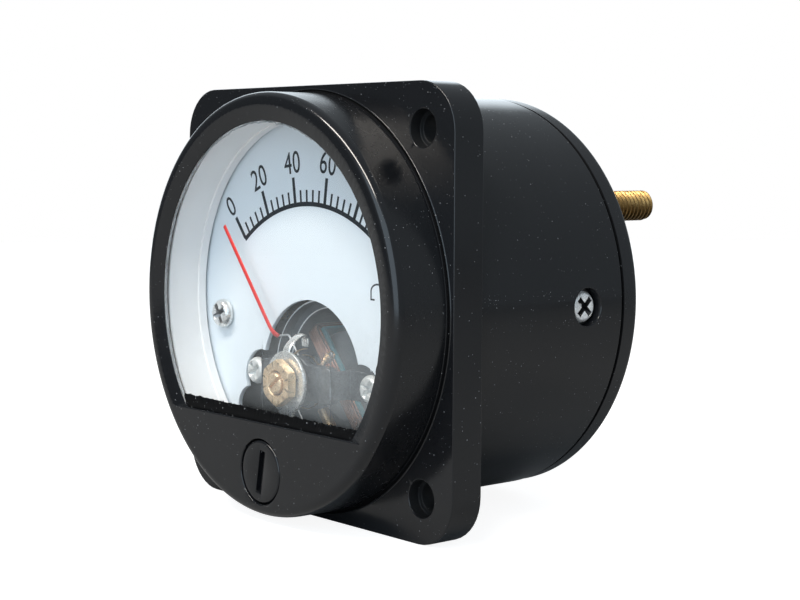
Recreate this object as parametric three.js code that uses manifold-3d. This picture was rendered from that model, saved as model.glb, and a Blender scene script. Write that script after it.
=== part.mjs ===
// A round moving-coil panel meter on a square flange, as an assembly of separate solids.
// Millimetres, +Z up. The dial faces -Y, and y = 0 is the rear plane of the flange, which meets the panel.
import * as THREE from 'three';
import { mergeVertices } from 'three/addons/utils/BufferGeometryUtils.js';
import Module from 'manifold-3d';

const wasm = await Module();
wasm.setup();

// ---------- driving dimensions ----------

const GAP = 0.3; // clearance left between neighbouring solids
const ROUND = 56; // sides of the large turned parts
const SMALL_ROUND = 16; // sides of screws, pillars and pins

const FLANGE = { side: 52, thickness: 4.3, cornerRadius: 5.8 };
const CORNER_HOLE = { offset: 20.7, radius: 1.6, recessRadius: 2.15, recessDepth: 1.5 };
const BEZEL = { radius: 25.1, front: -11.66, edgeRadius: 1.2, plinthRadius: 25.5, plinthHeight: 0.2 };
const BARREL = { radius: 25.2, bore: 22.9, rear: 23.6 };
const WINDOW = { frontRadius: 23.3, lipRadius: 21.6, lipRear: -11.05, chord: -13.9, segmentRear: -8.1 };
const COVER = { radius: 25.1, front: 23.95, rear: 26.6, edgeRadius: 0.8 };
const COVER_RING = { outer: 22.5, inner: 19.9, front: 12.5 };
const SIDE_SCREW = { y: 17.75, headRadius: 1.9, recessRadius: 2.25, recessDepth: 1.6, shankRadius: 1 };

const ADJUSTER = { z: -19.8, radius: 3.75, turn: 10, pinOffset: 1, slot: [1.05, 5.1, 0.75] };
const PANE = { radius: 22.6, front: -10.75, rear: -10 };
const LINER = { outer: 22.6, inner: 22.25, footInner: 22, front: -9.7, footFront: -5.6, rear: -4.5 };
const DIAL = { radius: 22.5, front: -4.2, rear: -3.6 };
const DIAL_CUTOUT = {
  archRadius: 9.65,
  waistX: 12.3,
  upperLobe: { radius: 3.5, x: 9.95, z: -10.1 },
  lowerLobe: { radius: 2.7, x: 12.4, z: -14.2 },
};
const DIAL_SCREW = { x: 17.7, z: -2.6, headRadius: 1.85, headThickness: 1 };

const PIVOT_Z = -9.4; // height of the movement's axis
const REST_ANGLE = -38.9; // pointer angle from upright at the zero mark, in degrees
const YOKE = { outer: 9.6, inner: 8.5, front: -2.3, rear: 12.6 };
const MAGNET = { radius: 5.6, front: 1.3, rear: 9.6 };
const COIL = { inner: 6.2, former: 0.4, winding: 0.75, width: 2.6, front: 0.6, rear: 10.2 };
const BRIDGE = { front: -6.5, thickness: 1.2, halfWidth: 2.2 };
const RISER = { x: 6.9, thickness: 0.8, halfWidth: 1.7 };
const BRIDGE_FOOT = { front: -3.4, rear: -2.6, radius: 1.8 };
const PILLAR = { x: 11.3, radius: 1.4, rear: 17.2 };
const BASE_PLATE = { front: 17.5, rear: 19, screwOffset: 8 };
const LOCK_NUT = { acrossFlats: 5, thickness: 1.2 };
const JEWEL_SCREW = { radius: 1.3, front: -9.7, rear: -5.25 };
const LEVER = { radius: 3.75, front: -7.95, thickness: 0.45, hole: 1.6 };
const HUB = { front: -4.45, rear: -4.1 };
const POINTER = { tipRadius: 23.4, rootRadius: 6.2, stemRadius: 6.6, front: -6.7, rear: -6.4, width: 0.6 };
const STUD = { x: 13.5, z: 11.3, radius: 1.95, front: 19.5, rear: 40.5, nutAcrossFlats: 7 };

// ---------- solid tools ----------

/** Turns a closed three.js geometry into a Manifold, with its faces pointing out. */
function solid(geometry) {
  const bare = geometry.clone();
  bare.deleteAttribute('normal');
  bare.deleteAttribute('uv');
  const merged = mergeVertices(bare, 1e-4);
  const position = merged.attributes.position;
  const corners = merged.index.array;
  const triangles = [];
  let volume = 0;
  const [a, b, c] = [new THREE.Vector3(), new THREE.Vector3(), new THREE.Vector3()];
  for (let i = 0; i < corners.length; i += 3) {
    const [p, q, r] = corners.subarray(i, i + 3);
    if (p === q || q === r || r === p) continue;
    triangles.push([p, q, r]);
    a.fromBufferAttribute(position, p);
    b.fromBufferAttribute(position, q);
    c.fromBufferAttribute(position, r);
    volume += a.dot(b.cross(c));
  }
  if (volume < 0) triangles.forEach((triangle) => triangle.reverse());
  const mesh = new wasm.Mesh({
    numProp: 3,
    vertProperties: new Float32Array(position.array),
    triVerts: new Uint32Array(triangles.flat()),
  });
  return new wasm.Manifold(mesh);
}

/** Gives a Manifold back as a three.js geometry. */
function geometryOf(manifold) {
  const { vertProperties, triVerts } = manifold.getMesh();
  const geometry = new THREE.BufferGeometry();
  geometry.setAttribute('position', new THREE.BufferAttribute(new Float32Array(vertProperties), 3));
  geometry.setIndex(new THREE.BufferAttribute(new Uint32Array(triVerts), 1));
  geometry.computeVertexNormals();
  return geometry;
}

const union = (...geometries) => geometryOf(geometries.map(solid).reduce((sum, part) => sum.add(part)));
const cut = (geometry, ...tools) =>
  geometryOf(tools.map(solid).reduce((rest, tool) => rest.subtract(tool), solid(geometry)));
const common = (first, second) => geometryOf(solid(first).intersect(solid(second)));

/** A solid of revolution about Y, from [radius, y] points that close on the axis or on themselves. */
function turned(profile, sides = ROUND) {
  const points = profile.map(([radius, y]) => new THREE.Vector2(radius, y));
  return geometryOf(solid(new THREE.LatheGeometry(points, sides)));
}

/** A disc or rod along Y. */
function rod(radius, front, rear, x = 0, z = 0, sides = SMALL_ROUND) {
  const cylinder = new THREE.CylinderGeometry(radius, radius, rear - front, sides);
  return cylinder.translate(x, (front + rear) / 2, z);
}

/** A turned ring along Y. */
function ring(outer, inner, front, rear, sides = ROUND) {
  return turned([[inner, front], [outer, front], [outer, rear], [inner, rear], [inner, front]], sides);
}

/** A block between two corners. */
function block([x0, y0, z0], [x1, y1, z1]) {
  const box = new THREE.BoxGeometry(x1 - x0, y1 - y0, z1 - z0);
  return box.translate((x0 + x1) / 2, (y0 + y1) / 2, (z0 + z1) / 2);
}

/** A plate whose outline is drawn in X and Z, from y = front to y = rear. */
function plate(shape, front, rear, curveSegments = 12) {
  const depth = rear - front;
  const geometry = new THREE.ExtrudeGeometry(shape, { depth, bevelEnabled: false, curveSegments });
  return geometry.rotateX(Math.PI / 2).translate(0, rear, 0);
}

function roundedRectangle(width, height, radius) {
  const [w, h] = [width / 2, height / 2];
  return new THREE.Shape()
    .moveTo(radius - w, -h)
    .lineTo(w - radius, -h)
    .absarc(w - radius, radius - h, radius, -Math.PI / 2, 0)
    .lineTo(w, h - radius)
    .absarc(w - radius, h - radius, radius, 0, Math.PI / 2)
    .lineTo(radius - w, h)
    .absarc(radius - w, h - radius, radius, Math.PI / 2, Math.PI)
    .lineTo(-w, radius - h)
    .absarc(radius - w, radius - h, radius, Math.PI, 1.5 * Math.PI);
}

/** A hexagonal nut along Y with a plain hole. */
function hexNut(acrossFlats, hole, front, rear) {
  const outer = rod(acrossFlats / Math.sqrt(3), front, rear, 0, 0, 6);
  return cut(outer, rod(hole, front - 1, rear + 1));
}

/** A pan-head screw along +Y: its head's underside at y = 0, with a cross recess in the head. */
function panHeadScrew(headRadius, headThickness, shankRadius, shankLength) {
  const dome = turned([
    [0, -headThickness],
    [headRadius * 0.55, -headThickness],
    [headRadius * 0.9, -headThickness * 0.7],
    [headRadius, -headThickness * 0.3],
    [headRadius, 0],
    [shankRadius, 0],
    [shankRadius, shankLength - shankRadius],
    [0, shankLength],
  ], SMALL_ROUND);
  const arm = headRadius * 0.62;
  const width = headRadius * 0.17;
  const depth = headThickness * 0.55;
  const floor = depth - headThickness;
  const recess = [
    block([-arm, -headThickness - 1, -width], [arm, floor, width]),
    block([-width, -headThickness - 1, -arm], [width, floor, arm]),
  ];
  return cut(dome, ...recess);
}

/** A flat spiral band in the XZ plane. */
function spiralBand(innerRadius, outerRadius, turns, band, front, rear) {
  const perTurn = 16;
  const count = Math.round(turns * perTurn);
  const at = (i, shift) => {
    const radius = innerRadius + ((outerRadius - innerRadius) * i) / count + shift;
    const angle = (2 * Math.PI * i) / perTurn;
    return new THREE.Vector2(radius * Math.sin(angle), radius * Math.cos(angle));
  };
  const outline = [];
  for (let i = 0; i <= count; i++) outline.push(at(i, band / 2));
  for (let i = count; i >= 0; i--) outline.push(at(i, -band / 2));
  return plate(new THREE.Shape(outline), front, rear);
}

// ---------- materials ----------

const material = (color, roughness, metalness, extra = {}) =>
  new THREE.MeshStandardMaterial({ color, roughness, metalness, ...extra });

const blackPlastic = () => material(0x17181b, 0.28, 0);
const whitePlastic = () => material(0xd9dde0, 0.5, 0);
const clearGlass = () => material(0xe6eef2, 0.05, 0, { transparent: true, opacity: 0.3 });
const dialPaint = () => material(0xdfe7ee, 0.45, 0.1);
const bridgeAlloy = () => material(0x6d7175, 0.45, 0.8);
const screwPlate = () => material(0xc9cbcd, 0.2, 1);
const brass = () => material(0xb08a4a, 0.35, 1);
const steel = () => material(0x8d9095, 0.35, 1);
const softIron = () => material(0x55595d, 0.5, 0.7);
const ferrite = () => material(0x2f3133, 0.7, 0.2);
const aluminium = () => material(0xb8bbbe, 0.4, 1);
const copper = () => material(0xa5603a, 0.4, 0.9);
const redPaint = () => material(0xd8302c, 0.4, 0);
const ruby = () => material(0xa02038, 0.1, 0);
const fibre = () => material(0x6a4631, 0.8, 0);
const blackLead = () => material(0x1c1c1e, 0.5, 0);
const redLead = () => material(0xb02a24, 0.5, 0);

// ---------- scene graph ----------

const meter = new THREE.Group();
const movement = new THREE.Group();
movement.position.z = PIVOT_Z;
const movingCoil = new THREE.Group();
movingCoil.rotation.y = THREE.MathUtils.degToRad(REST_ANGLE);
movement.add(movingCoil);
meter.add(movement);

function add(parent, name, geometry, finish, place = {}) {
  const mesh = new THREE.Mesh(geometry, finish);
  mesh.name = name;
  if (place.position) mesh.position.set(...place.position);
  if (place.rotation) mesh.rotation.set(...place.rotation);
  parent.add(mesh);
  return mesh;
}

// ---------- case ----------

function housing() {
  const corner = BEZEL.edgeRadius;
  const edge = [0, 1, 2, 3].map((i) => {
    const angle = (i * Math.PI) / 6;
    const y = BEZEL.front + corner - corner * Math.cos(angle);
    return [BEZEL.radius - corner + corner * Math.sin(angle), y];
  });
  const plinthFront = -FLANGE.thickness - BEZEL.plinthHeight;
  const body = turned([
    [0, BEZEL.front],
    ...edge,
    [BEZEL.radius, plinthFront],
    [BEZEL.plinthRadius, plinthFront],
    [BEZEL.plinthRadius, -FLANGE.thickness / 2],
    [BARREL.radius, -FLANGE.thickness / 2],
    [BARREL.radius, BARREL.rear],
    [0, BARREL.rear],
  ], ROUND);
  const outline = roundedRectangle(FLANGE.side, FLANGE.side, FLANGE.cornerRadius);
  const flange = plate(outline, -FLANGE.thickness, 0, 8);

  const slope = (WINDOW.frontRadius - WINDOW.lipRadius) / (WINDOW.lipRear - BEZEL.front);
  const overrun = 0.5;
  const bevel = new THREE.CylinderGeometry(
    WINDOW.lipRadius - slope * overrun,
    WINDOW.frontRadius + slope * overrun,
    WINDOW.lipRear - BEZEL.front + 2 * overrun,
    ROUND,
  ).translate(0, (WINDOW.lipRear + BEZEL.front) / 2, 0);
  const straight = rod(WINDOW.lipRadius, BEZEL.front + 0.2, WINDOW.lipRear + overrun, 0, 0, ROUND);
  const aboveChord = block([-30, -20, WINDOW.chord], [30, 0, 30]);
  const window = common(union(bevel, straight), aboveChord);
  const seat = common(rod(BARREL.bore, WINDOW.lipRear, WINDOW.segmentRear + 1, 0, 0, ROUND), aboveChord);
  const bore = rod(BARREL.bore, WINDOW.segmentRear, BARREL.rear + 1, 0, 0, ROUND);

  const tools = [window, seat, bore];
  tools.push(rod(ADJUSTER.radius + 0.2, BEZEL.front - 1, -10.1, 0, ADJUSTER.z, 28));
  tools.push(rod(1.9, -10.5, WINDOW.segmentRear + 1, 0, ADJUSTER.z));
  tools.push(rod(3.2, -8.8, WINDOW.segmentRear + 1, 0, ADJUSTER.z));
  for (const x of [-1, 1]) {
    for (const z of [-1, 1]) {
      const [cx, cz] = [x * CORNER_HOLE.offset, z * CORNER_HOLE.offset];
      tools.push(rod(CORNER_HOLE.radius, -10, 1, cx, cz));
      tools.push(rod(CORNER_HOLE.recessRadius, -10, CORNER_HOLE.recessDepth - FLANGE.thickness, cx, cz));
    }
    const through = rod(SIDE_SCREW.shankRadius + 0.3, 20, 30);
    const recess = rod(SIDE_SCREW.recessRadius, BARREL.radius - SIDE_SCREW.recessDepth, 30);
    for (const tool of [through, recess]) {
      tools.push(tool.rotateZ((-x * Math.PI) / 2).translate(0, SIDE_SCREW.y, 0));
    }
  }
  return cut(union(body, flange), ...tools);
}

function windowPane() {
  const disc = rod(PANE.radius, PANE.front, PANE.rear, 0, 0, ROUND);
  return common(disc, block([-30, -20, WINDOW.chord + GAP], [30, 0, 30]));
}

function zeroAdjustScrew() {
  const [slotWidth, slotLength, slotDepth] = ADJUSTER.slot;
  const front = BEZEL.front + 0.06;
  const head = rod(ADJUSTER.radius, front, -10.4, 0, 0, 28);
  const neck = rod(1.6, -10.6, -8.2);
  const pinTurn = THREE.MathUtils.degToRad(ADJUSTER.turn);
  const pinX = -ADJUSTER.pinOffset * Math.sin(pinTurn);
  const pinZ = ADJUSTER.pinOffset * Math.cos(pinTurn);
  const pin = rod(0.45, -8.4, -7, pinX, pinZ, 16);
  const [halfWidth, halfLength] = [slotWidth / 2, slotLength / 2];
  const slot = block([-halfWidth, front - 1, -halfLength], [halfWidth, front + slotDepth, halfLength]);
  return cut(union(head, neck, pin), slot);
}

function zeroAdjustClip() {
  const mouth = Math.PI / 9;
  const outline = new THREE.Shape()
    .absarc(0, 0, 2.9, mouth, 2 * Math.PI - mouth)
    .absarc(0, 0, 1.8, 2 * Math.PI - mouth, mouth, true);
  return plate(outline, -8.6, -8.25, 8);
}

function dialLiner() {
  const profile = [
    [LINER.inner, LINER.front],
    [LINER.outer, LINER.front],
    [LINER.outer, LINER.rear],
    [LINER.footInner, LINER.rear],
    [LINER.footInner, LINER.footFront],
    [LINER.inner, LINER.footFront],
    [LINER.inner, LINER.front],
  ];
  return cut(turned(profile), block([-30, -20, -30], [30, WINDOW.segmentRear + GAP, WINDOW.chord + GAP]));
}

/** The dial is a disc with an arch around the movement and, on each side, two round lobes below it. */
function dialPlate() {
  const disc = rod(DIAL.radius, DIAL.front, DIAL.rear, 0, 0, ROUND);
  const { archRadius, waistX, upperLobe, lowerLobe } = DIAL_CUTOUT;
  const [front, rear] = [DIAL.front - 1, DIAL.rear + 1];
  const tools = [
    rod(archRadius, front, rear, 0, PIVOT_Z, 32),
    block([-waistX, front, -30], [waistX, rear, upperLobe.z]),
  ];
  for (const x of [-1, 1]) {
    for (const lobe of [upperLobe, lowerLobe]) {
      tools.push(rod(lobe.radius, front, rear, x * lobe.x, lobe.z));
    }
    tools.push(rod(1.1, front, rear, x * DIAL_SCREW.x, DIAL_SCREW.z));
  }
  return cut(disc, ...tools);
}

function dialPillar() {
  return cut(rod(1.4, DIAL.rear + GAP, COVER.front - GAP), rod(1.1, -5, 2.5));
}

function rearCover() {
  const corner = COVER.edgeRadius;
  const edge = [0, 1, 2, 3].map((i) => {
    const angle = (i * Math.PI) / 6;
    const radius = COVER.radius - corner + corner * Math.cos(angle);
    return [radius, COVER.rear - corner + corner * Math.sin(angle)];
  });
  const body = turned([
    [0, COVER.front],
    [COVER_RING.inner, COVER.front],
    [COVER_RING.inner, COVER_RING.front],
    [COVER_RING.outer, COVER_RING.front],
    [COVER_RING.outer, COVER.front],
    [COVER.radius, COVER.front],
    ...edge,
    [0, COVER.rear],
  ], ROUND);
  const bosses = [-1, 1].map((z) =>
    rod(3, BASE_PLATE.rear + GAP, COVER.front + 0.5, 0, PIVOT_Z + z * BASE_PLATE.screwOffset));
  const tools = [-1, 1].map((z) =>
    rod(1.1, 0, COVER.front - 0.5, 0, PIVOT_Z + z * BASE_PLATE.screwOffset));
  for (const x of [-1, 1]) {
    tools.push(rod(STUD.radius + 0.15, 0, 30, x * STUD.x, STUD.z));
    tools.push(rod(4.4, 0, COVER.front, x * STUD.x, STUD.z));
    const tapped = rod(SIDE_SCREW.shankRadius + 0.15, 15, 30).rotateZ((-x * Math.PI) / 2);
    tools.push(tapped.translate(0, SIDE_SCREW.y, 0));
  }
  return cut(union(body, ...bosses), ...tools);
}

add(meter, 'housing', housing(), blackPlastic());
add(meter, 'window_pane', windowPane(), clearGlass());
const adjusterPlace = {
  position: [0, 0, ADJUSTER.z],
  rotation: [0, THREE.MathUtils.degToRad(ADJUSTER.turn), 0],
};
add(meter, 'zero_adjust_screw', zeroAdjustScrew(), blackPlastic(), adjusterPlace);
add(meter, 'zero_adjust_clip', zeroAdjustClip(), steel(), { position: [0, 0, ADJUSTER.z] });
add(meter, 'dial_liner', dialLiner(), whitePlastic());
add(meter, 'dial_plate', dialPlate(), dialPaint());
add(meter, 'rear_cover', rearCover(), blackPlastic());

for (const [side, x] of [['left', -1], ['right', 1]]) {
  const dialScrew = panHeadScrew(DIAL_SCREW.headRadius, DIAL_SCREW.headThickness, 0.8, 5);
  dialScrew.rotateY(x * 0.5);
  const screwPlace = { position: [x * DIAL_SCREW.x, DIAL.front - GAP, DIAL_SCREW.z] };
  add(meter, `dial_screw_${side}`, dialScrew, screwPlate(), screwPlace);
  const pillarPlace = { position: [x * DIAL_SCREW.x, 0, DIAL_SCREW.z] };
  add(meter, `dial_pillar_${side}`, dialPillar(), brass(), pillarPlace);

  const sideScrew = panHeadScrew(SIDE_SCREW.headRadius, 0.85, SIDE_SCREW.shankRadius, 4).rotateY(0.35);
  const headSeat = BARREL.radius - SIDE_SCREW.recessDepth + 0.15;
  const sidePlace = { position: [x * headSeat, SIDE_SCREW.y, 0], rotation: [0, 0, (x * Math.PI) / 2] };
  add(meter, `side_screw_${side}`, sideScrew, screwPlate(), sidePlace);
}

// ---------- terminals ----------

function terminalStud() {
  const chamfer = 0.4;
  return turned([
    [0, STUD.front],
    [STUD.radius - chamfer, STUD.front],
    [STUD.radius, STUD.front + chamfer],
    [STUD.radius, STUD.rear - chamfer],
    [STUD.radius - chamfer, STUD.rear],
    [0, STUD.rear],
  ], SMALL_ROUND);
}

/** A solder tag: a round eye with a narrow tail towards the meter's axis. */
function terminalLug(side) {
  const eye = rod(3.6, COVER.front - 0.75, COVER.front - GAP);
  const tail = block([-side * 7.5, COVER.front - 0.75, -1], [0, COVER.front - GAP, 1]);
  const hole = rod(STUD.radius + 0.2, COVER.front - 2, COVER.front + 1);
  return cut(union(eye, tail), hole);
}

for (const [side, x] of [['left', -1], ['right', 1]]) {
  const place = { position: [x * STUD.x, 0, STUD.z] };
  const nut = (front, rear) => hexNut(STUD.nutAcrossFlats, STUD.radius + 0.15, front, rear);
  add(meter, `terminal_stud_${side}`, terminalStud(), brass(), place);
  add(meter, `terminal_lug_${side}`, terminalLug(x), brass(), place);
  add(meter, `terminal_inner_nut_${side}`, nut(COVER.front - 3.8, COVER.front - 1.05), brass(), place);
  const washer = ring(4, 2.15, COVER.rear + GAP, COVER.rear + 1, 20);
  add(meter, `terminal_washer_${side}`, washer, brass(), place);
  add(meter, `terminal_outer_nut_${side}`, nut(COVER.rear + 1.3, COVER.rear + 4.4), brass(), place);
}

// ---------- fixed movement parts, placed from the pivot axis ----------

function magnetCarrier() {
  const [front, rear] = [YOKE.rear + GAP, YOKE.rear + GAP + 1];
  const ears = block([-13.5, front, -2.4], [13.5, rear, 2.4]);
  const body = union(rod(10, front, rear, 0, 0, 32), ears);
  const pillarHoles = [-1, 1].map((x) => rod(PILLAR.radius + 0.15, front - 1, rear + 1, x * PILLAR.x));
  return cut(body, rod(8.2, front - 1, rear + 1, 0, 0, 28), ...pillarHoles);
}

/** A side bar between magnet and yoke, clear of the coil's swing above and below. */
function coreKeeper(x) {
  const reach = [MAGNET.radius + 0.15, YOKE.inner - 0.35].map((r) => r * x).sort((p, q) => p - q);
  return block([reach[0], 1.6, -1.6], [reach[1], 8, 1.6]);
}

/** The front bridge is a cranked strap: a raised middle, two risers and two feet on the pillars. */
function frontBridge() {
  const { front, thickness, halfWidth } = BRIDGE;
  const foot = BRIDGE_FOOT;
  const middle = plate(roundedRectangle(2 * RISER.x, 2 * halfWidth, 0.8), front, front + thickness);
  const parts = [middle, rod(3.1, front, front + thickness, 0, 0, 20)];
  for (const x of [-1, 1]) {
    const [inner, outer] = [x * (RISER.x - RISER.thickness), x * RISER.x];
    const [low, high] = [Math.min(inner, outer), Math.max(inner, outer)];
    parts.push(block([low, front, -RISER.halfWidth], [high, foot.rear, RISER.halfWidth]));
    const [footLow, footHigh] = [Math.min(inner, x * PILLAR.x), Math.max(inner, x * PILLAR.x)];
    parts.push(block([footLow, foot.front, -foot.radius], [footHigh, foot.rear, foot.radius]));
    parts.push(rod(foot.radius, foot.front, foot.rear, x * PILLAR.x));
  }
  const holes = [-1, 1].map((x) => rod(0.95, foot.front - 1, 0, x * PILLAR.x));
  return cut(union(...parts), rod(1.45, front - 1, front + 3), ...holes);
}

function bridgePillar() {
  const front = BRIDGE_FOOT.rear + GAP;
  return cut(rod(PILLAR.radius, front, PILLAR.rear), rod(0.95, front - 1, 2));
}

function movementBase() {
  const across = plate(roundedRectangle(29, 8, 3), BASE_PLATE.front, BASE_PLATE.rear, 6);
  const along = plate(roundedRectangle(8, 20, 3), BASE_PLATE.front, BASE_PLATE.rear, 6);
  const holes = [-1, 1].map((z) =>
    rod(1.1, BASE_PLATE.front - 1, BASE_PLATE.rear + 1, 0, z * BASE_PLATE.screwOffset));
  return cut(union(across, along), rod(1.45, BASE_PLATE.front - 1, BASE_PLATE.rear + 1), ...holes);
}

/** The slotted screw that holds a bearing jewel; its slot is at the front end, its cup at the rear. */
function jewelScrew(front, rear) {
  const slot = block([-2, front - 1, -0.2], [2, front + 0.7, 0.2]);
  const cup = rod(0.85, rear - 1.2, rear + 1);
  return cut(rod(JEWEL_SCREW.radius, front, rear), slot, cup);
}

/** A jewel disc with a conical seat that opens towards +Y. */
function jewel(front) {
  const [radius, seatRadius, rear] = [0.7, 0.45, front + 0.9];
  const profile = [[0, front], [radius, front], [radius, rear], [seatRadius, rear], [0, rear - seatRadius]];
  return turned(profile, SMALL_ROUND);
}

function leverWasher() {
  return ring(2.9, 1.5, LEVER.front + LEVER.thickness + 0.25, BRIDGE.front - 0.25, 20);
}

function rearSpringAnchor() {
  const disc = ring(2.9, 1.6, BASE_PLATE.front - 0.9, BASE_PLATE.front - GAP, 20);
  const arm = block([-0.6, BASE_PLATE.front - 0.9, 2.2], [0.6, BASE_PLATE.front - GAP, 4.6]);
  const post = block([-0.6, 13.1, 4.1], [0.6, BASE_PLATE.front - 0.5, 4.6]);
  return union(disc, arm, post);
}

add(movement, 'yoke_ring', ring(YOKE.outer, YOKE.inner, YOKE.front, YOKE.rear, 40), softIron());
add(movement, 'magnet_core', rod(MAGNET.radius, MAGNET.front, MAGNET.rear, 0, 0, 28), ferrite());
add(movement, 'core_keeper_left', coreKeeper(-1), aluminium());
add(movement, 'core_keeper_right', coreKeeper(1), aluminium());
add(movement, 'magnet_carrier', magnetCarrier(), aluminium());
add(movement, 'front_bridge', frontBridge(), bridgeAlloy());
add(movement, 'movement_base', movementBase(), aluminium());
add(movement, 'lever_washer', leverWasher(), fibre());
for (const [side, x] of [['left', -1], ['right', 1]]) {
  const screwPlace = { position: [x * PILLAR.x, BRIDGE_FOOT.front - GAP, 0] };
  const bridgeScrew = panHeadScrew(1.7, 0.85, 0.65, 5).rotateY(0.6 * x);
  add(movement, `bridge_screw_${side}`, bridgeScrew, screwPlate(), screwPlace);
  add(movement, `bridge_pillar_${side}`, bridgePillar(), aluminium(), { position: [x * PILLAR.x, 0, 0] });
}
for (const [side, z] of [['upper', 1], ['lower', -1]]) {
  const screwPlace = { position: [0, BASE_PLATE.front - GAP, z * BASE_PLATE.screwOffset] };
  add(movement, `movement_screw_${side}`, panHeadScrew(1.8, 1, 0.8, 5), screwPlate(), screwPlace);
}

const lockNut = (front) =>
  hexNut(LOCK_NUT.acrossFlats, JEWEL_SCREW.radius + 0.15, front, front + LOCK_NUT.thickness);
const frontScrew = jewelScrew(JEWEL_SCREW.front, JEWEL_SCREW.rear).rotateY(-0.67);
add(movement, 'front_jewel_screw', frontScrew, brass());
add(movement, 'front_lock_nut', lockNut(JEWEL_SCREW.front + 0.3), brass());
add(movement, 'front_jewel', jewel(JEWEL_SCREW.rear - 1.1), ruby());

const rearScrew = { front: 14.6, rear: 20.4 };
add(movement, 'rear_jewel_screw',
  jewelScrew(-rearScrew.rear, -rearScrew.front), brass(), { rotation: [Math.PI, 0, 0] });
add(movement, 'rear_jewel', jewel(-rearScrew.front - 1.1), ruby(), { rotation: [Math.PI, 0, 0] });
add(movement, 'rear_lock_nut', lockNut(BASE_PLATE.rear + GAP), brass());
add(movement, 'rear_spring_anchor', rearSpringAnchor(), brass());
add(movement, 'rear_hairspring', spiralBand(1, 3.8, 4, 0.14, 13.1, 13.5), brass());

// ---------- zero lever ----------

/** A disc round the jewel screw, with a fork for the adjuster's pin and an arm back to the hairspring. */
function zeroLever() {
  const { front, thickness } = LEVER;
  const rear = front + thickness;
  const pinZ = ADJUSTER.z + ADJUSTER.pinOffset - PIVOT_Z;
  const tail = block([-1.3, front, pinZ - 1.6], [1.3, rear, -2.6]);
  const fork = block([-0.6, front - 1, pinZ - 3], [0.6, rear + 1, pinZ + 1]);
  const upright = block([-0.9, front, 2.4], [0.9, rear, 5.3]);
  const bridgeOver = block([-0.9, front, 4.85], [0.9, -4.75, 5.3]);
  const tab = block([-0.9, -5.05, 4], [0.9, -4.75, 5.3]);
  const body = union(rod(LEVER.radius, front, rear, 0, 0, 32), tail, upright, bridgeOver, tab);
  return cut(body, rod(LEVER.hole, front - 1, rear + 1), fork);
}

add(movement, 'zero_lever', zeroLever(), screwPlate());
add(movement, 'front_hairspring', spiralBand(0.9, 3.8, 4, 0.14, -4.95, -4.6), brass());

// ---------- moving coil, drawn with its pointer upright ----------

/** A flat loop in the YZ plane, of the given inner size, thickness and width. */
function loop(inner, front, rear, thickness, width) {
  const reach = inner + thickness;
  const outer = block([-width / 2, front - thickness, -reach], [width / 2, rear + thickness, reach]);
  return cut(outer, block([-width, front, -inner], [width, rear, inner]));
}

function halfPivot(base, tip) {
  const direction = Math.sign(tip - base);
  const shoulder = tip - direction * 0.6;
  return turned([[0, base], [0.3, base], [0.3, shoulder], [0, tip]], 16);
}

/** The cross that joins the pointer's stem, two side weights and the tail weight to the coil. */
function pointerHub() {
  const { front, rear } = HUB;
  const across = block([-5.75, front, -0.3], [5.75, rear, 0.3]);
  const tail = block([-0.3, front, -7], [0.3, rear, 0]);
  return cut(union(rod(1, front, rear), across, tail), rod(0.45, front - 1, rear + 1));
}

function pointerStem() {
  const half = 0.15;
  const radial = block([-half, HUB.front, 1.2], [half, HUB.rear, POINTER.stemRadius + half]);
  const [inner, outer] = [POINTER.stemRadius - half, POINTER.stemRadius + half];
  const forward = block([-half, POINTER.rear + GAP / 2, inner], [half, HUB.rear, outer]);
  return union(radial, forward);
}

/** A flat needle that the stem carries at its root. */
function pointerNeedle() {
  const half = POINTER.width / 2;
  return block([-half, POINTER.front, POINTER.rootRadius], [half, POINTER.rear, POINTER.tipRadius]);
}

const formerFront = COIL.front - COIL.former;
const formerRear = COIL.rear + COIL.former;
const windingInner = COIL.inner + COIL.former + 0.15;
const formerLoop = loop(COIL.inner, COIL.front, COIL.rear, COIL.former, COIL.width);
add(movingCoil, 'coil_former', formerLoop, aluminium());
add(movingCoil, 'coil_winding',
  loop(windingInner, formerFront - 0.15, formerRear + 0.15, COIL.winding, COIL.width - 0.6), copper());
add(movingCoil, 'front_pivot', halfPivot(-0.95, -5.6), steel());
add(movingCoil, 'rear_pivot', halfPivot(11.95, 15.1), steel());
add(movingCoil, 'pointer_hub', pointerHub(), aluminium());
add(movingCoil, 'pointer_stem', pointerStem(), steel());
add(movingCoil, 'pointer', pointerNeedle(), redPaint());

const weightY = (HUB.front + HUB.rear) / 2;
for (const [side, x] of [['left', -1], ['right', 1]]) {
  const weightPlace = { position: [x * 5, weightY, 0], rotation: [0, 0, Math.PI / 2] };
  add(movingCoil, `balance_weight_${side}`, ring(0.55, 0.42, -0.7, 0.7, 16), brass(), weightPlace);
}
// The tail weight balances the pointer about the pivots.
const tailPlace = { position: [0, weightY, -5.55], rotation: [Math.PI / 2, 0, 0] };
add(movingCoil, 'balance_weight_tail', ring(0.7, 0.4, -1.4, 1.4, 16), brass(), tailPlace);

// ---------- leads ----------

/** An insulated lead that follows a smooth curve through its points. */
function lead(points) {
  const extrudePath = new THREE.CatmullRomCurve3(points.map((point) => new THREE.Vector3(...point)));
  const section = new THREE.Shape().absarc(0, 0, 0.45, 0, 2 * Math.PI);
  const options = { steps: 14, curveSegments: 4, extrudePath, bevelEnabled: false };
  return new THREE.ExtrudeGeometry(section, options);
}

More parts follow.
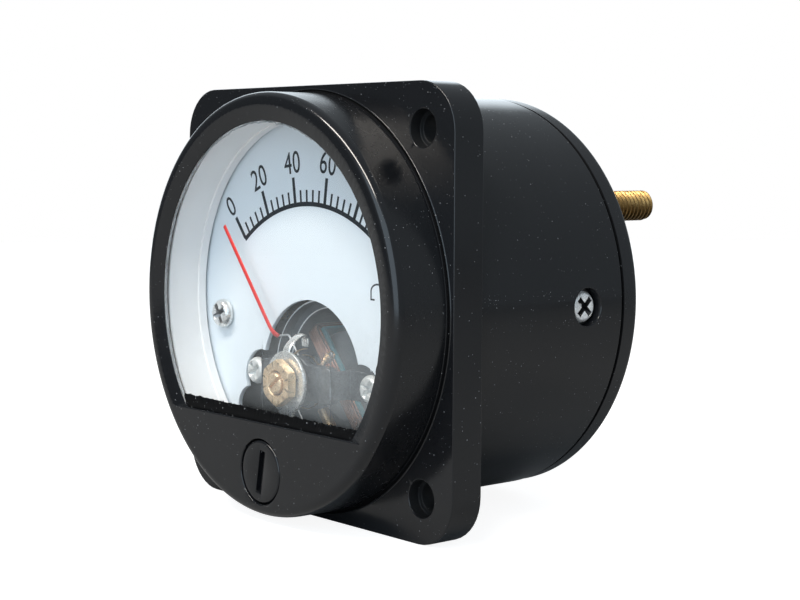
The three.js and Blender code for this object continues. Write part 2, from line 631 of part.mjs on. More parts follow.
const leadStart = [6.3, COVER.front - 1.6, STUD.z];
add(meter, 'lead_wire_left', lead([
  [-leadStart[0], leadStart[1], leadStart[2]],
  [-7, 20, 7],
  [-6, 16, 1],
  [-3.4, 15, -3],
  [-1.3, 15.6, -5],
]), blackLead());
add(meter, 'lead_wire_right', lead([
  leadStart,
  [9.5, 19.5, 8],
  [12.6, 13, 2],
  [12.6, 3, -3.6],
  [11.8, -2, -6.6],
]), redLead());

export default meter;
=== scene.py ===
import math

import bmesh
import bpy
from mathutils import Matrix, Vector, noise


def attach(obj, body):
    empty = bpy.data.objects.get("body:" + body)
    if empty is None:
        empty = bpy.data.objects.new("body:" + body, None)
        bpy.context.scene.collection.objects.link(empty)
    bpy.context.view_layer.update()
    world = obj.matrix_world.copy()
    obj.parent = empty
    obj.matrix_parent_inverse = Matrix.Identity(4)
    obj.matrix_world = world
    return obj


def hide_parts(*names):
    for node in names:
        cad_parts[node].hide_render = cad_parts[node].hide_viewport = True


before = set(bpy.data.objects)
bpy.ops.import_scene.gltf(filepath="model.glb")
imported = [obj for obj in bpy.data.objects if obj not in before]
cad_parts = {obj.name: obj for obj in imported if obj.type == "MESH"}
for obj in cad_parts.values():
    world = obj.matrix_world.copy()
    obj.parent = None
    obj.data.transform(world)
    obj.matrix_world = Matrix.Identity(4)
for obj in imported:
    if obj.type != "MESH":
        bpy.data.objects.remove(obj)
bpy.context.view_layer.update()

MM = 0.001
TURN = 2 * math.pi
SIDES = (("left", -1), ("right", 1))

# ---------- sizes: those of the CAD, but for the liner, which reaches closer to the pane ----------

FLANGE_SIDE, FLANGE_THICK, FLANGE_CORNER = 52.0, 4.3, 5.8
HOLE_OFFSET, HOLE_R, RECESS_R, RECESS_DEPTH = 20.7, 1.6, 2.15, 1.5
BEZEL_R, BEZEL_FRONT, BEZEL_EDGE = 25.1, -11.66, 1.2
PLINTH_R, PLINTH_FRONT = 25.5, -4.5
BARREL_R, BARREL_BORE, BARREL_REAR = 25.2, 22.9, 23.6
WINDOW_FRONT_R, WINDOW_LIP_R, WINDOW_LIP_Y = 23.3, 21.6, -11.05
CHORD, SEGMENT_REAR = -13.9, -8.1
COVER_R, COVER_FRONT, COVER_REAR, COVER_EDGE = 25.1, 23.95, 26.6, 0.8
COVER_RING_R, COVER_RING_BORE, COVER_RING_FRONT = 22.5, 19.9, 12.5
SIDE_Y, SIDE_RECESS_R, SIDE_RECESS_DEPTH = 17.75, 2.25, 1.6
ADJUSTER_Z, ADJUSTER_R, ADJUSTER_TURN = -19.8, 3.75, math.radians(10)
ADJUSTER_REAR, ADJUSTER_NECK_R, ADJUSTER_NECK_REAR = -10.4, 1.6, -8.2
ADJUSTER_SLOT_WIDTH, ADJUSTER_SLOT_LENGTH, ADJUSTER_SLOT_DEPTH = 1.05, 5.1, 0.75
PANE_R, PANE_FRONT, PANE_REAR = 22.6, -10.75, -10.0
LINER_R, LINER_BORE, LINER_FRONT, LINER_REAR = 22.6, 22.25, -9.95, -4.5
LINER_FOOT_BORE, LINER_FOOT_FRONT = 22.0, -5.6
DIAL_FRONT, DIAL_REAR, DIAL_R = -4.2, -3.6, 22.5
DIAL_SCREW_X, DIAL_SCREW_Z = 17.7, -2.6
CUTOUT_R, CUTOUT_WAIST = 9.65, 12.3
UPPER_LOBE_R, UPPER_LOBE_X, UPPER_LOBE_Z = 3.5, 9.95, -10.1
LOWER_LOBE_R, LOWER_LOBE_X, LOWER_LOBE_Z = 2.7, 12.4, -14.2

PIVOT_Z = -9.4
REST = math.radians(-38.9)  # pointer angle from upright at the zero mark
SCALE_SPAN = math.radians(77.8)
YOKE_R, YOKE_BORE, YOKE_FRONT, YOKE_REAR = 9.6, 8.5, -2.3, 12.6
MAGNET_R, MAGNET_FRONT, MAGNET_REAR = 5.6, 1.3, 9.6
COIL_INNER, COIL_FRONT, COIL_REAR, COIL_HALF = 6.2, 0.6, 10.2, 1.3
BRIDGE_FRONT, BRIDGE_REAR, BRIDGE_HOLE = -6.5, -5.3, 1.45
RISER_X, POST_X, POST_HOLE = 6.9, 11.3, 0.95
FOOT_FRONT, FOOT_REAR = -3.4, -2.6
LEVER_FRONT, LEVER_REAR, LEVER_R = -7.95, -7.5, 3.75
NUT_FRONT, NUT_REAR, SCREW_FRONT, SCREW_REAR = -9.4, -8.2, -9.7, -5.25
HUB_FRONT, HUB_REAR, HUB_Y = -4.42, -4.13, -4.275
STUD_X, STUD_Z, STUD_R, STUD_FRONT, STUD_REAR, PITCH = 13.5, 11.3, 1.95, 19.5, 40.5, 0.7
STUD_HOLE, STUD_NUT = 2.1, 7
NEAR = 0.01  # how far a face may lie from the plane that it is looked up by


# ---------- mesh tools ----------

def linked(name, data):
    """A new object with this data, in the scene."""
    obj = bpy.data.objects.new(name, data)
    bpy.context.scene.collection.objects.link(obj)
    return obj


def as_mesh(name, bm):
    """Turns bm into a mesh and frees it."""
    mesh = bpy.data.meshes.new(name)
    bm.to_mesh(mesh)
    bm.free()
    return mesh


def as_bmesh(mesh):
    """Turns mesh into a bmesh and removes it."""
    bm = bmesh.new()
    bm.from_mesh(mesh)
    bpy.data.meshes.remove(mesh)
    return bm


def evaluated_mesh(obj):
    """The mesh of an object as it shows, with its modifiers applied."""
    return bpy.data.meshes.new_from_object(obj.evaluated_get(bpy.context.evaluated_depsgraph_get()))


def finish_bmesh(bm):
    bmesh.ops.remove_doubles(bm, verts=bm.verts, dist=1e-5)
    bmesh.ops.recalc_face_normals(bm, faces=bm.faces)
    return bm


def thickened(bm, depth):
    """Extrudes flat faces along Y."""
    made = bmesh.ops.extrude_face_region(bm, geom=bm.faces[:])
    verts = [v for v in made["geom"] if isinstance(v, bmesh.types.BMVert)]
    bmesh.ops.translate(bm, verts=verts, vec=(0, depth, 0))
    return finish_bmesh(bm)


def polar(radius, turn):
    """x and z of a point, its angle counted from upright and clockwise from the front."""
    return radius * math.sin(turn), radius * math.cos(turn)


def around(radius, turn, y):
    """A point at a radius from the Y axis."""
    x, z = polar(radius, turn)
    return x, y, z


def dye(bm, index, chosen):
    """Gives a material index to the faces for which chosen(middle, distance from the Y axis) is true."""
    for face in bm.faces:
        middle = face.calc_center_median()
        if chosen(middle, math.hypot(middle.x, middle.z)):
            face.material_index = index
    return bm


def loft(loops, closed=False):
    """Quads between loops of equally many points. A loop of one point closes the surface there."""
    bm = bmesh.new()
    rows = [[bm.verts.new(p) for p in loop] for loop in loops]
    pairs = list(zip(rows, rows[1:]))
    if closed:
        pairs.append((rows[-1], rows[0]))
    for a, b in pairs:
        count = max(len(a), len(b))
        for i in range(count):
            j = (i + 1) % count
            if len(a) == 1:
                bm.faces.new((a[0], b[i], b[j]))
            elif len(b) == 1:
                bm.faces.new((a[i], a[j], b[0]))
            else:
                bm.faces.new((a[i], a[j], b[j], b[i]))
    return finish_bmesh(bm)


def lathe(profile, sides=160, closed=False):
    """A surface of revolution about Y from [radius, y] points."""
    loops = []
    for radius, y in profile:
        if radius < 1e-6:
            loops.append([(0, y, 0)])
        else:
            loops.append([around(radius, TURN * i / sides, y) for i in range(sides)])
    return loft(loops, closed)


def ring(outer, inner, front, rear, edge=0.12, sides=160):
    """A turned ring with rounded edges."""
    profile = [(inner, front), (outer, front), (outer, rear), (inner, rear)]
    return lathe(rounded(profile, edge), sides, True)


def disc(radius, front, rear, edge=0.1, sides=64):
    """A turned disc with rounded edges."""
    profile = [(0, front), (radius, front), (radius, rear), (0, rear)]
    return lathe(rounded(profile, edge, ends=False), sides)


def rounded(points, radius, steps=3, ends=True):
    """Rounds the corners of a profile. With ends False, the first and last point stay as they are."""
    out = []
    count = len(points)
    for i, point in enumerate(points):
        if not ends and i in (0, count - 1):
            out.append(tuple(point))
            continue
        p, before, after = Vector(point), Vector(points[i - 1]), Vector(points[(i + 1) % count])
        reach = min(radius, (before - p).length * 0.45, (after - p).length * 0.45)
        start = p + (before - p).normalized() * reach
        end = p + (after - p).normalized() * reach
        for k in range(steps + 1):
            t = k / steps
            q = start * (1 - t) ** 2 + p * 2 * t * (1 - t) + end * t ** 2
            out.append(tuple(q))
    return out


def circle(radius, sides, start=0.0, span=TURN):
    """Points of a circle, or of an arc when span is less than a turn, in x and z."""
    last = sides if span >= TURN else sides - 1
    return [polar(radius, start + span * i / last) for i in range(sides)]


def rounded_box(width, height, corner, steps=10):
    """Outline of a rectangle with round corners, in x and z."""
    points = []
    for quarter, (sx, sz) in enumerate([(1, 1), (1, -1), (-1, -1), (-1, 1)]):
        cx, cz = sx * (width / 2 - corner), sz * (height / 2 - corner)
        for i in range(steps + 1):
            x, z = polar(corner, math.pi / 2 * (quarter + i / steps))
            points.append((cx + x, cz + z))
    return points


def plate(outline, front, rear, holes=()):
    """A flat plate with an outline in x and z and holes through it."""
    bm = bmesh.new()
    for loop in [outline, *holes]:
        verts = [bm.verts.new((x, front, z)) for x, z in loop]
        for a, b in zip(verts, verts[1:] + verts[:1]):
            bm.edges.new((a, b))
    if holes:
        bmesh.ops.triangle_fill(bm, use_beauty=True, use_dissolve=False, edges=bm.edges[:])
    else:
        bm.faces.new(bm.verts[:])
    return thickened(bm, rear - front)


def box(low, high):
    """A block between two corners."""
    (x0, y0, z0), (x1, y1, z1) = low, high
    return plate([(x0, z0), (x1, z0), (x1, z1), (x0, z1)], y0, y1)


def tube(path, radius, sides=12, flat=None, cap=True):
    """A round or flattened section swept along points. flat is (half width, half height, up vector)."""
    points = [Vector(p) for p in path]
    loops = []
    side = None
    for i, point in enumerate(points):
        along = (points[min(i + 1, len(points) - 1)] - points[max(i - 1, 0)]).normalized()
        if flat:
            side = flat[2].cross(along).normalized()
        elif side is None:
            side = along.orthogonal().normalized()
        else:
            side = (side - along * side.dot(along)).normalized()
        up = along.cross(side)
        a, b = (flat[0], flat[1]) if flat else (radius, radius)
        turns = [TURN * (k + 0.5) / sides for k in range(sides)]
        loops.append([point + side * a * math.cos(t) + up * b * math.sin(t) for t in turns])
    if cap:
        loops = [[points[0]], *loops, [points[-1]]]
    return loft(loops)


def moved(bm, x=0.0, y=0.0, z=0.0, spin=0.0, matrix=None):
    """Turns bm about Y by spin, clockwise from the front, then shifts it."""
    turn = matrix or Matrix.Rotation(spin, 4, "Y")
    bmesh.ops.transform(bm, matrix=Matrix.Translation((x, y, z)) @ turn, verts=bm.verts)
    return bm


def joined(*parts):
    """One bmesh from several, each left whole."""
    out = bmesh.new()
    for part in parts:
        mesh = as_mesh("part", part)
        out.from_mesh(mesh)
        bpy.data.meshes.remove(mesh)
    return out


def combine(bm, operation, *tools):
    """Cuts, joins or intersects bm with each tool in turn."""
    body = linked("body", as_mesh("body", bm))
    for tool in tools:
        other = linked("tool", as_mesh("tool", tool))
        step = body.modifiers.new("step", "BOOLEAN")
        step.operation = operation
        step.solver = "EXACT"
        step.object = other
        result = evaluated_mesh(body)
        body.modifiers.remove(step)
        old, body.data = body.data, result
        bpy.data.meshes.remove(old)
        tool_mesh = other.data
        bpy.data.objects.remove(other)
        bpy.data.meshes.remove(tool_mesh)
    mesh = body.data
    bpy.data.objects.remove(body)
    out = as_bmesh(mesh)
    bmesh.ops.remove_doubles(out, verts=out.verts, dist=1e-4)
    bmesh.ops.dissolve_degenerate(out, dist=1e-4, edges=out.edges)
    return out


def cut(bm, *tools):
    return combine(bm, "DIFFERENCE", *tools)


def piece(name, bm, material, node=None, bevel=0.0, angle=32, segments=2, body="case"):
    """Makes a finished piece from a bmesh in millimetres, in place of a CAD node. material may be a list."""
    bmesh.ops.transform(bm, matrix=Matrix.Scale(MM, 4), verts=bm.verts)
    mesh = as_mesh(name, bm)
    for one in material if isinstance(material, list) else [material]:
        mesh.materials.append(one)
    for polygon in mesh.polygons:
        polygon.use_smooth = True
    mesh.set_sharp_from_angle(angle=math.radians(angle))
    obj = linked(name, mesh)
    if bevel:
        edges = obj.modifiers.new("edges", "BEVEL")
        edges.width = bevel * MM
        edges.segments = segments
        edges.limit_method = "ANGLE"
        edges.angle_limit = math.radians(angle)
        edges.use_clamp_overlap = False
    weighted = obj.modifiers.new("normals", "WEIGHTED_NORMAL")
    weighted.keep_sharp = not bevel
    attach(obj, body)
    if node:
        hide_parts(node)


# ---------- material tools ----------

class Tree:
    """Shorthand for the nodes that every look and the world use."""

    def __init__(self, tree):
        self.nodes = tree.nodes
        self.links = tree.links

    def feed(self, socket, value):
        """Links value to the socket if it comes from a node, and else sets it."""
        if isinstance(value, bpy.types.NodeSocket):
            self.links.new(value, socket)
        else:
            socket.default_value = value

    def node(self, kind, **inputs):
        made = self.nodes.new(kind)
        for key, value in inputs.items():
            self.feed(made.inputs[key.replace("_", " ")], value)
        return made

    def ramp(self, value, low, high, bottom=0.0, top=1.0):
        made = self.node("ShaderNodeMapRange", Value=value)
        for key, number in zip(("From Min", "From Max", "To Min", "To Max"), (low, high, bottom, top)):
            made.inputs[key].default_value = number
        return made.outputs["Result"]

    def math(self, operation, a, b):
        made = self.nodes.new("ShaderNodeMath")
        made.operation = operation
        self.feed(made.inputs[0], a)
        self.feed(made.inputs[1], b)
        return made.outputs[0]


class Finish(Tree):
    """A node material that reads its patterns in millimetres of the object's own space."""

    def __init__(self, name):
        self.material = bpy.data.materials.new(name)
        self.material.use_nodes = True
        super().__init__(self.material.node_tree)
        self.shader = self.nodes["Principled BSDF"]
        place = self.node("ShaderNodeTexCoord").outputs["Object"]
        self.space = self.node("ShaderNodeMapping", Vector=place, Scale=(1 / MM,) * 3).outputs["Vector"]

    def fix(self, socket, value):
        """Sets a constant on the shader."""
        self.shader.inputs[socket].default_value = value

    def noise(self, scale, detail=4.0, roughness=0.55, distortion=0.0, stretch=None):
        vector = self.space
        if stretch:
            vector = self.node("ShaderNodeMapping", Vector=self.space, Scale=stretch).outputs["Vector"]
        made = self.node("ShaderNodeTexNoise", Vector=vector, Scale=scale, Detail=detail,
                         Roughness=roughness, Distortion=distortion)
        return made.outputs["Fac"]

    def specks(self, per_mm, size, share):
        """1 on small scattered dots, 0 between them. share is the part of the cells that hold one."""
        cells = self.node("ShaderNodeTexVoronoi", Vector=self.space, Scale=per_mm)
        dots = self.ramp(cells.outputs["Distance"], size, size * 0.6)
        tint = self.node("ShaderNodeSeparateColor", Color=cells.outputs["Color"])
        chosen = self.ramp(tint.outputs["Red"], 1 - share, 1 - share + 0.01)
        return self.math("MULTIPLY", dots, chosen)

    def mix(self, factor, a, b):
        made = self.nodes.new("ShaderNodeMix")
        made.data_type = "RGBA"
        self.feed(made.inputs[0], factor)
        for index, colour in ((6, a), (7, b)):
            self.feed(made.inputs[index], (*colour, 1.0) if isinstance(colour, (tuple, list)) else colour)
        return made.outputs[2]

    def set(self, socket, value):
        self.links.new(value, self.shader.inputs[socket])

    def bump(self, height, depth, strength=1.0):
        made = self.node("ShaderNodeBump", Height=height, Distance=depth * MM, Strength=strength)
        previous = self.shader.inputs["Normal"]
        if previous.is_linked:
            self.links.new(previous.links[0].from_socket, made.inputs["Normal"])
        self.links.new(made.outputs["Normal"], previous)


def plastic(name, dark, light, rough, dust=0.35, dust_colour=(0.35, 0.36, 0.38), gloss=0.5):
    """Moulded glossy plastic with flow marks, fine scratches and specks of dust."""
    look = Finish(name)
    look.fix("Specular IOR Level", gloss)
    cloud = look.noise(0.12, 3)
    colour = look.mix(cloud, dark, light)
    dots = look.specks(1.3, 0.1, dust)
    fine = look.specks(3.1, 0.13, dust * 0.5)
    specks = look.math("MAXIMUM", dots, fine)
    look.set("Base Color", look.mix(look.math("MULTIPLY", specks, 0.55), colour, dust_colour))
    hairline = look.ramp(look.noise(1.1, 3, stretch=(0.35, 6.0, 1.0)), 0.62, 0.72)
    smudge = look.ramp(look.noise(0.22, 5), 0.35, 0.75, rough[0], rough[1])
    scratched = look.math("ADD", smudge, look.math("MULTIPLY", hairline, 0.05))
    look.set("Roughness", look.math("ADD", scratched, look.math("MULTIPLY", specks, 0.5)))
    look.bump(look.noise(0.16, 2), 0.05, 0.35)
    look.bump(look.noise(14.0, 3), 0.0018, 0.5)
    look.bump(specks, 0.03, 0.6)
    return look.material


def metal(name, colour, dull, rough, grain=(1, 1, 1), spots=0.3, depth=0.006, scale=1.6, metallic=1.0):
    """Plated or bare metal with patches of dulling, fine grain and small pits."""
    look = Finish(name)
    look.fix("Metallic", metallic)
    patch = look.ramp(look.noise(scale, 6, 0.65, 0.4), 0.38, 0.66)
    pits = look.specks(scale * 3, 0.2, spots)
    tone = look.mix(patch, colour, dull)
    look.set("Base Color", look.mix(look.math("MULTIPLY", pits, 0.6), tone, [c * 0.35 for c in dull]))
    lines = look.noise(9.0, 4, stretch=grain)
    base = look.ramp(patch, 0, 1, rough[0], rough[1])
    look.set("Roughness", look.math("ADD", base, look.ramp(lines, 0.3, 0.7, -0.06, 0.08)))
    look.bump(lines, depth, 0.6)
    look.bump(look.noise(scale * 0.8, 4), depth * 4, 0.4)
    look.bump(look.math("SUBTRACT", 1.0, pits), depth * 2, 0.5)
    return look.material


def paint(name, colour, shade, rough, scale=1.2, depth=0.004, metallic=0.0, specks=0.05):
    """A thin matt coat with a faint orange-peel surface and a few specks."""
    look = Finish(name)
    look.fix("Metallic", metallic)
    cloud = look.ramp(look.noise(scale * 0.25, 5), 0.3, 0.7)
    marks = look.specks(scale, 0.07, specks)
    tone = look.mix(cloud, colour, shade)
    look.set("Base Color", look.mix(look.math("MULTIPLY", marks, 0.5), tone, [c * 0.5 for c in shade]))
    look.set("Roughness", look.ramp(look.noise(scale, 5), 0.3, 0.7, rough[0], rough[1]))
    look.bump(look.noise(scale * 9, 3), depth, 0.5)
    return look.material


def dial_finish():
    """White lacquer on sheet metal, with a very fine grain."""
    look = Finish("dial_lacquer")
    tone = look.mix(look.noise(0.1, 3), (0.76, 0.82, 0.86), (0.72, 0.79, 0.84))
    grains = look.specks(4.0, 0.12, 0.06)
    look.set("Base Color", look.mix(look.math("MULTIPLY", grains, 0.25), tone, (0.3, 0.33, 0.36)))
    look.set("Roughness", look.ramp(look.noise(0.5, 5), 0.3, 0.7, 0.32, 0.46))
    look.bump(look.noise(12.0, 3), 0.003, 0.5)
    return look.material


def glass_finish():
    """Thin clear window: see-through, with a surface gloss, a few motes and a grey film low down, stronger to
    the right.
    """
    look = Finish("window_glass")
    place = look.node("ShaderNodeSeparateXYZ", Vector=look.space)
    across, height = place.outputs["X"], place.outputs["Z"]
    low = look.math("MULTIPLY", look.ramp(height, 3.0, -5.0), look.ramp(across, -9.0, 6.0, 0.12, 1.0))
    above_ledge = look.ramp(height, -13.4, -10.8)
    cloud = look.ramp(look.noise(0.16, 5, 0.6, 0.3), 0.32, 0.68, 0.06, 0.16)
    film = look.math("MULTIPLY", look.math("MULTIPLY", low, above_ledge), cloud)
    motes = look.specks(1.1, 0.05, 0.12)
    streak = look.ramp(look.noise(1.3, 4, stretch=(0.5, 1.0, 2.2)), 0.64, 0.76, 0.0, 0.1)
    dust = look.math("ADD", look.math("MULTIPLY", motes, 0.5), look.math("MULTIPLY", low, streak))
    haze = look.math("ADD", look.math("ADD", film, dust), 0.003)
    facing = look.node("ShaderNodeLayerWeight", Blend=0.5).outputs["Facing"]
    gloss = look.math("ADD", look.math("MULTIPLY", look.math("POWER", facing, 5.0), 0.9), 0.02)
    cover = look.math("ADD", gloss, haze)
    look.set("Alpha", look.math("MINIMUM", cover, 1.0))
    look.set("Metallic", look.math("DIVIDE", gloss, cover))
    look.set("Base Color", look.mix(cloud, (0.62, 0.66, 0.68), (0.7, 0.73, 0.74)))
    look.set("Roughness", look.ramp(look.noise(0.25, 5), 0.45, 0.8, 0.02, 0.07))
    return look.material


def enamel_wire_finish():
    """Enamelled copper wire, darker where the varnish is thick."""
    look = Finish("enamel_copper")
    look.fix("Metallic", 0.7)
    varnish = look.ramp(look.noise(1.4, 5), 0.35, 0.65)
    look.set("Base Color", look.mix(varnish, (0.2, 0.09, 0.055), (0.09, 0.045, 0.032)))
    look.set("Roughness", look.ramp(look.noise(3.0, 4), 0.3, 0.7, 0.25, 0.45))
    look.bump(look.noise(5.0, 4), 0.01, 0.5)
    return look.material


PHENOLIC = (0.0045, 0.005, 0.006), (0.0075, 0.008, 0.0095)
# Deep black: the sealant's own colour, and also the painted shade of the housing's seams.
DEEP_BLACK = (0.002, 0.0022, 0.0025), (0.003, 0.003, 0.0035)
BLACK = plastic("black_phenolic", *PHENOLIC, (0.1, 0.2))
BLACK_COVER = plastic("black_phenolic_cover", (0.006, 0.0065, 0.0075), (0.01, 0.0105, 0.012), (0.18, 0.3))
BLACK_FLANGE = plastic("black_phenolic_flange", *PHENOLIC, (0.12, 0.2), 0.45)
BLACK_WALL = plastic("black_phenolic_wall", *PHENOLIC, (0.22, 0.32), 0.45)
# The bolt recesses get a duller, less glossy copy of the phenolic with fewer light specks, so that they read
# dark: painted shade.
HOLE_PAINTED_SHADE = plastic("black_phenolic_hole_painted_shade", (0.005, 0.0054, 0.006), (0.007, 0.0074, 0.008), (0.5, 0.7), 0.1,
                     gloss=0.2)
# A near-black, rough, hardly glossy copy for the seam faces and the plinth step: painted shade in these
# joints.
SEAM_PAINTED_SHADE = plastic("black_phenolic_seam_painted_shade", *DEEP_BLACK, (0.6, 0.8), 0.1, gloss=0.05)
HOUSING_LOOKS = [BLACK, HOLE_PAINTED_SHADE, BLACK_FLANGE, BLACK_WALL, SEAM_PAINTED_SHADE]
GLASS = glass_finish()
WHITE = paint("white_liner", (0.89, 0.88, 0.87), (0.85, 0.84, 0.83), (0.4, 0.55))
DIAL = dial_finish()
INK = paint("dial_ink", (0.006, 0.01, 0.015), (0.01, 0.015, 0.022), (0.4, 0.6), 3.0, 0.003)
RED = paint("pointer_red", (0.72, 0.03, 0.025), (0.62, 0.025, 0.022), (0.35, 0.5), 3.0, 0.004)
NICKEL = metal("nickel_plate", (0.92, 0.92, 0.9), (0.66, 0.67, 0.67), (0.14, 0.34), spots=0.25,
               metallic=0.75)
# The side screws' plating is whiter and far less metallic than the other nickel: a painted sheen that stands
# in for bright reflections the room around them doesn't give.
FLANK_NICKEL_PAINTED_SHEEN = metal("flank_screw_nickel_painted_sheen", (1.0, 1.0, 0.98), (0.72, 0.72, 0.72), (0.22, 0.42),
                     spots=0.5, depth=0.03, scale=2.6, metallic=0.35)
SATIN = metal("satin_nickel", (0.72, 0.73, 0.71), (0.58, 0.59, 0.58), (0.35, 0.5), spots=0.15,
              metallic=0.3)
LEVER_NICKEL = metal("lever_nickel", (0.92, 0.92, 0.89), (0.72, 0.72, 0.69), (0.2, 0.38),
                     spots=0.06, depth=0.002, metallic=0.72)
# Darker copies of the plating for the inside of the cross recesses: painted shade.
SCREW_RECESS_PAINTED_SHADE = metal("screw_recess_painted_shade", (0.5, 0.5, 0.5), (0.16, 0.16, 0.165), (0.3, 0.5), spots=0.5)
SIDE_SCREW_RECESS_PAINTED_SHADE = metal("screw_recess_dark_painted_shade", (0.05, 0.05, 0.052), (0.02, 0.02, 0.021), (0.45, 0.65),
                    spots=0.5)
BRASS = metal("aged_brass", (0.7, 0.5, 0.3), (0.4, 0.26, 0.14), (0.22, 0.45), spots=0.4, depth=0.01)
LIGHT_BRASS = metal("bright_brass", (0.95, 0.72, 0.46), (0.6, 0.42, 0.24), (0.22, 0.42),
                    spots=0.35, depth=0.02, metallic=0.6)
STUD_BRASS = metal("stud_brass", (0.4, 0.25, 0.095), (0.2, 0.12, 0.042), (0.25, 0.45), spots=0.45)
STEEL = metal("spring_steel", (0.5, 0.51, 0.53), (0.3, 0.31, 0.33), (0.25, 0.4), spots=0.2)
STEM_METAL = metal("stem_metal", (0.75, 0.77, 0.79), (0.6, 0.62, 0.64), (0.3, 0.45), spots=0.1,
                   metallic=0.4)
ALLOY = metal("bridge_alloy", (0.2, 0.21, 0.22), (0.11, 0.118, 0.125), (0.35, 0.55), spots=0.35,
              depth=0.01)
ALUMINIUM = metal("aluminium", (0.62, 0.63, 0.64), (0.42, 0.43, 0.45), (0.3, 0.5), (1, 6, 1))
IRON = paint("blued_iron", (0.075, 0.092, 0.105), (0.055, 0.07, 0.082), (0.3, 0.45), 1.6, 0.008, 0.3)
# The yoke's turned front lip and ledge: bare metal, partly its own bright colour and partly a painted
# highlight, near-white and hardly metallic.
TURNED_EDGE_PAINTED_HIGHLIGHT = metal("turned_edge_painted_highlight", (0.97, 0.97, 0.97), (0.88, 0.89, 0.9), (0.3, 0.45), spots=0.1,
                    metallic=0.12)
MAGNET = paint("magnet_ferrite", (0.09, 0.1, 0.11), (0.06, 0.065, 0.07), (0.4, 0.6), 2.0, 0.01)
COPPER = enamel_wire_finish()
TEAL = paint("former_lacquer", (0.03, 0.2, 0.24), (0.05, 0.26, 0.3), (0.3, 0.45), 2.0, 0.004, 0.3)
RUBY = paint("ruby", (0.45, 0.01, 0.05), (0.35, 0.01, 0.04), (0.08, 0.15), 2.0, 0.002)
FIBRE = paint("fibre_washer", (0.2, 0.09, 0.045), (0.14, 0.06, 0.03), (0.6, 0.8), 3.0, 0.02)
BLACK_LEAD = paint("black_insulation", (0.03, 0.05, 0.06), (0.02, 0.035, 0.045), (0.4, 0.55), 2.0, 0.01)
RED_LEAD = paint("red_insulation", (0.35, 0.03, 0.02), (0.28, 0.025, 0.02), (0.4, 0.55), 2.0, 0.01)
GLUE = paint("window_cement", (0.4, 0.42, 0.43), (0.12, 0.13, 0.135), (0.25, 0.5), 3.0, 0.03)
RIM = paint("pane_rim", (0.72, 0.7, 0.68), (0.6, 0.59, 0.57), (0.4, 0.6), 2.5, 0.02)
SEALANT = plastic("black_sealant", *DEEP_BLACK, (0.35, 0.55), 0.9, (0.75, 0.77, 0.79), 0.12)


# ---------- case ----------

def side_recess(side, radius, reach):
    """A round tool along X that sinks into the barrel from one side."""
    turn = Matrix.Rotation(-side * math.pi / 2, 4, "Z")
    return moved(disc(radius, 0, 10, 0.0, 64), x=side * reach, y=SIDE_Y, matrix=turn)


def above_chord():
    """Everything in front of the flange's rear plane and above the window's straight edge."""
    return box((-30, -20, CHORD), (30, 0, 30))


def window_tool():
    """The D-shaped opening: a cone that narrows to the lip, cut off along the chord."""
    slope = (WINDOW_FRONT_R - WINDOW_LIP_R) / (WINDOW_LIP_Y - BEZEL_FRONT)
    over = 0.6
    profile = [
        (0, BEZEL_FRONT - over),
        (WINDOW_FRONT_R + slope * over, BEZEL_FRONT - over),
        (WINDOW_LIP_R, WINDOW_LIP_Y),
        (WINDOW_LIP_R, WINDOW_LIP_Y + 1),
        (0, WINDOW_LIP_Y + 1),
    ]
    return combine(lathe(profile), "INTERSECT", above_chord())


def housing_look(face):
    """The material of one face of the housing. The bolt recesses, the plinth step and the barrel's rear edge
    at the seam get duller, darker copies of the plastic: painted shade.
    """
    middle = face.calc_center_median()
    radius = math.hypot(middle.x, middle.z)
    from_hole = math.hypot(abs(middle.x) - HOLE_OFFSET, abs(middle.z) - HOLE_OFFSET)
    # Bolt recess faces: the duller copy, painted shade.
    if from_hole < RECESS_R + NEAR and middle.y > NEAR - FLANGE_THICK:
        return HOLE_PAINTED_SHADE
    if abs(middle.y + FLANGE_THICK) < NEAR and face.normal.y < -0.9:
        return BLACK_FLANGE
    # The plinth step and the barrel's rear edge get the seam copy: painted shade.
    on_plinth_step = abs(middle.y - PLINTH_FRONT) < 0.05 and radius > BEZEL_R
    if on_plinth_step or middle.y > BARREL_REAR - NEAR:
        return SEAM_PAINTED_SHADE
    if BEZEL_FRONT + BEZEL_EDGE < middle.y < PLINTH_FRONT and radius > WINDOW_FRONT_R:
        return BLACK_WALL
    return BLACK


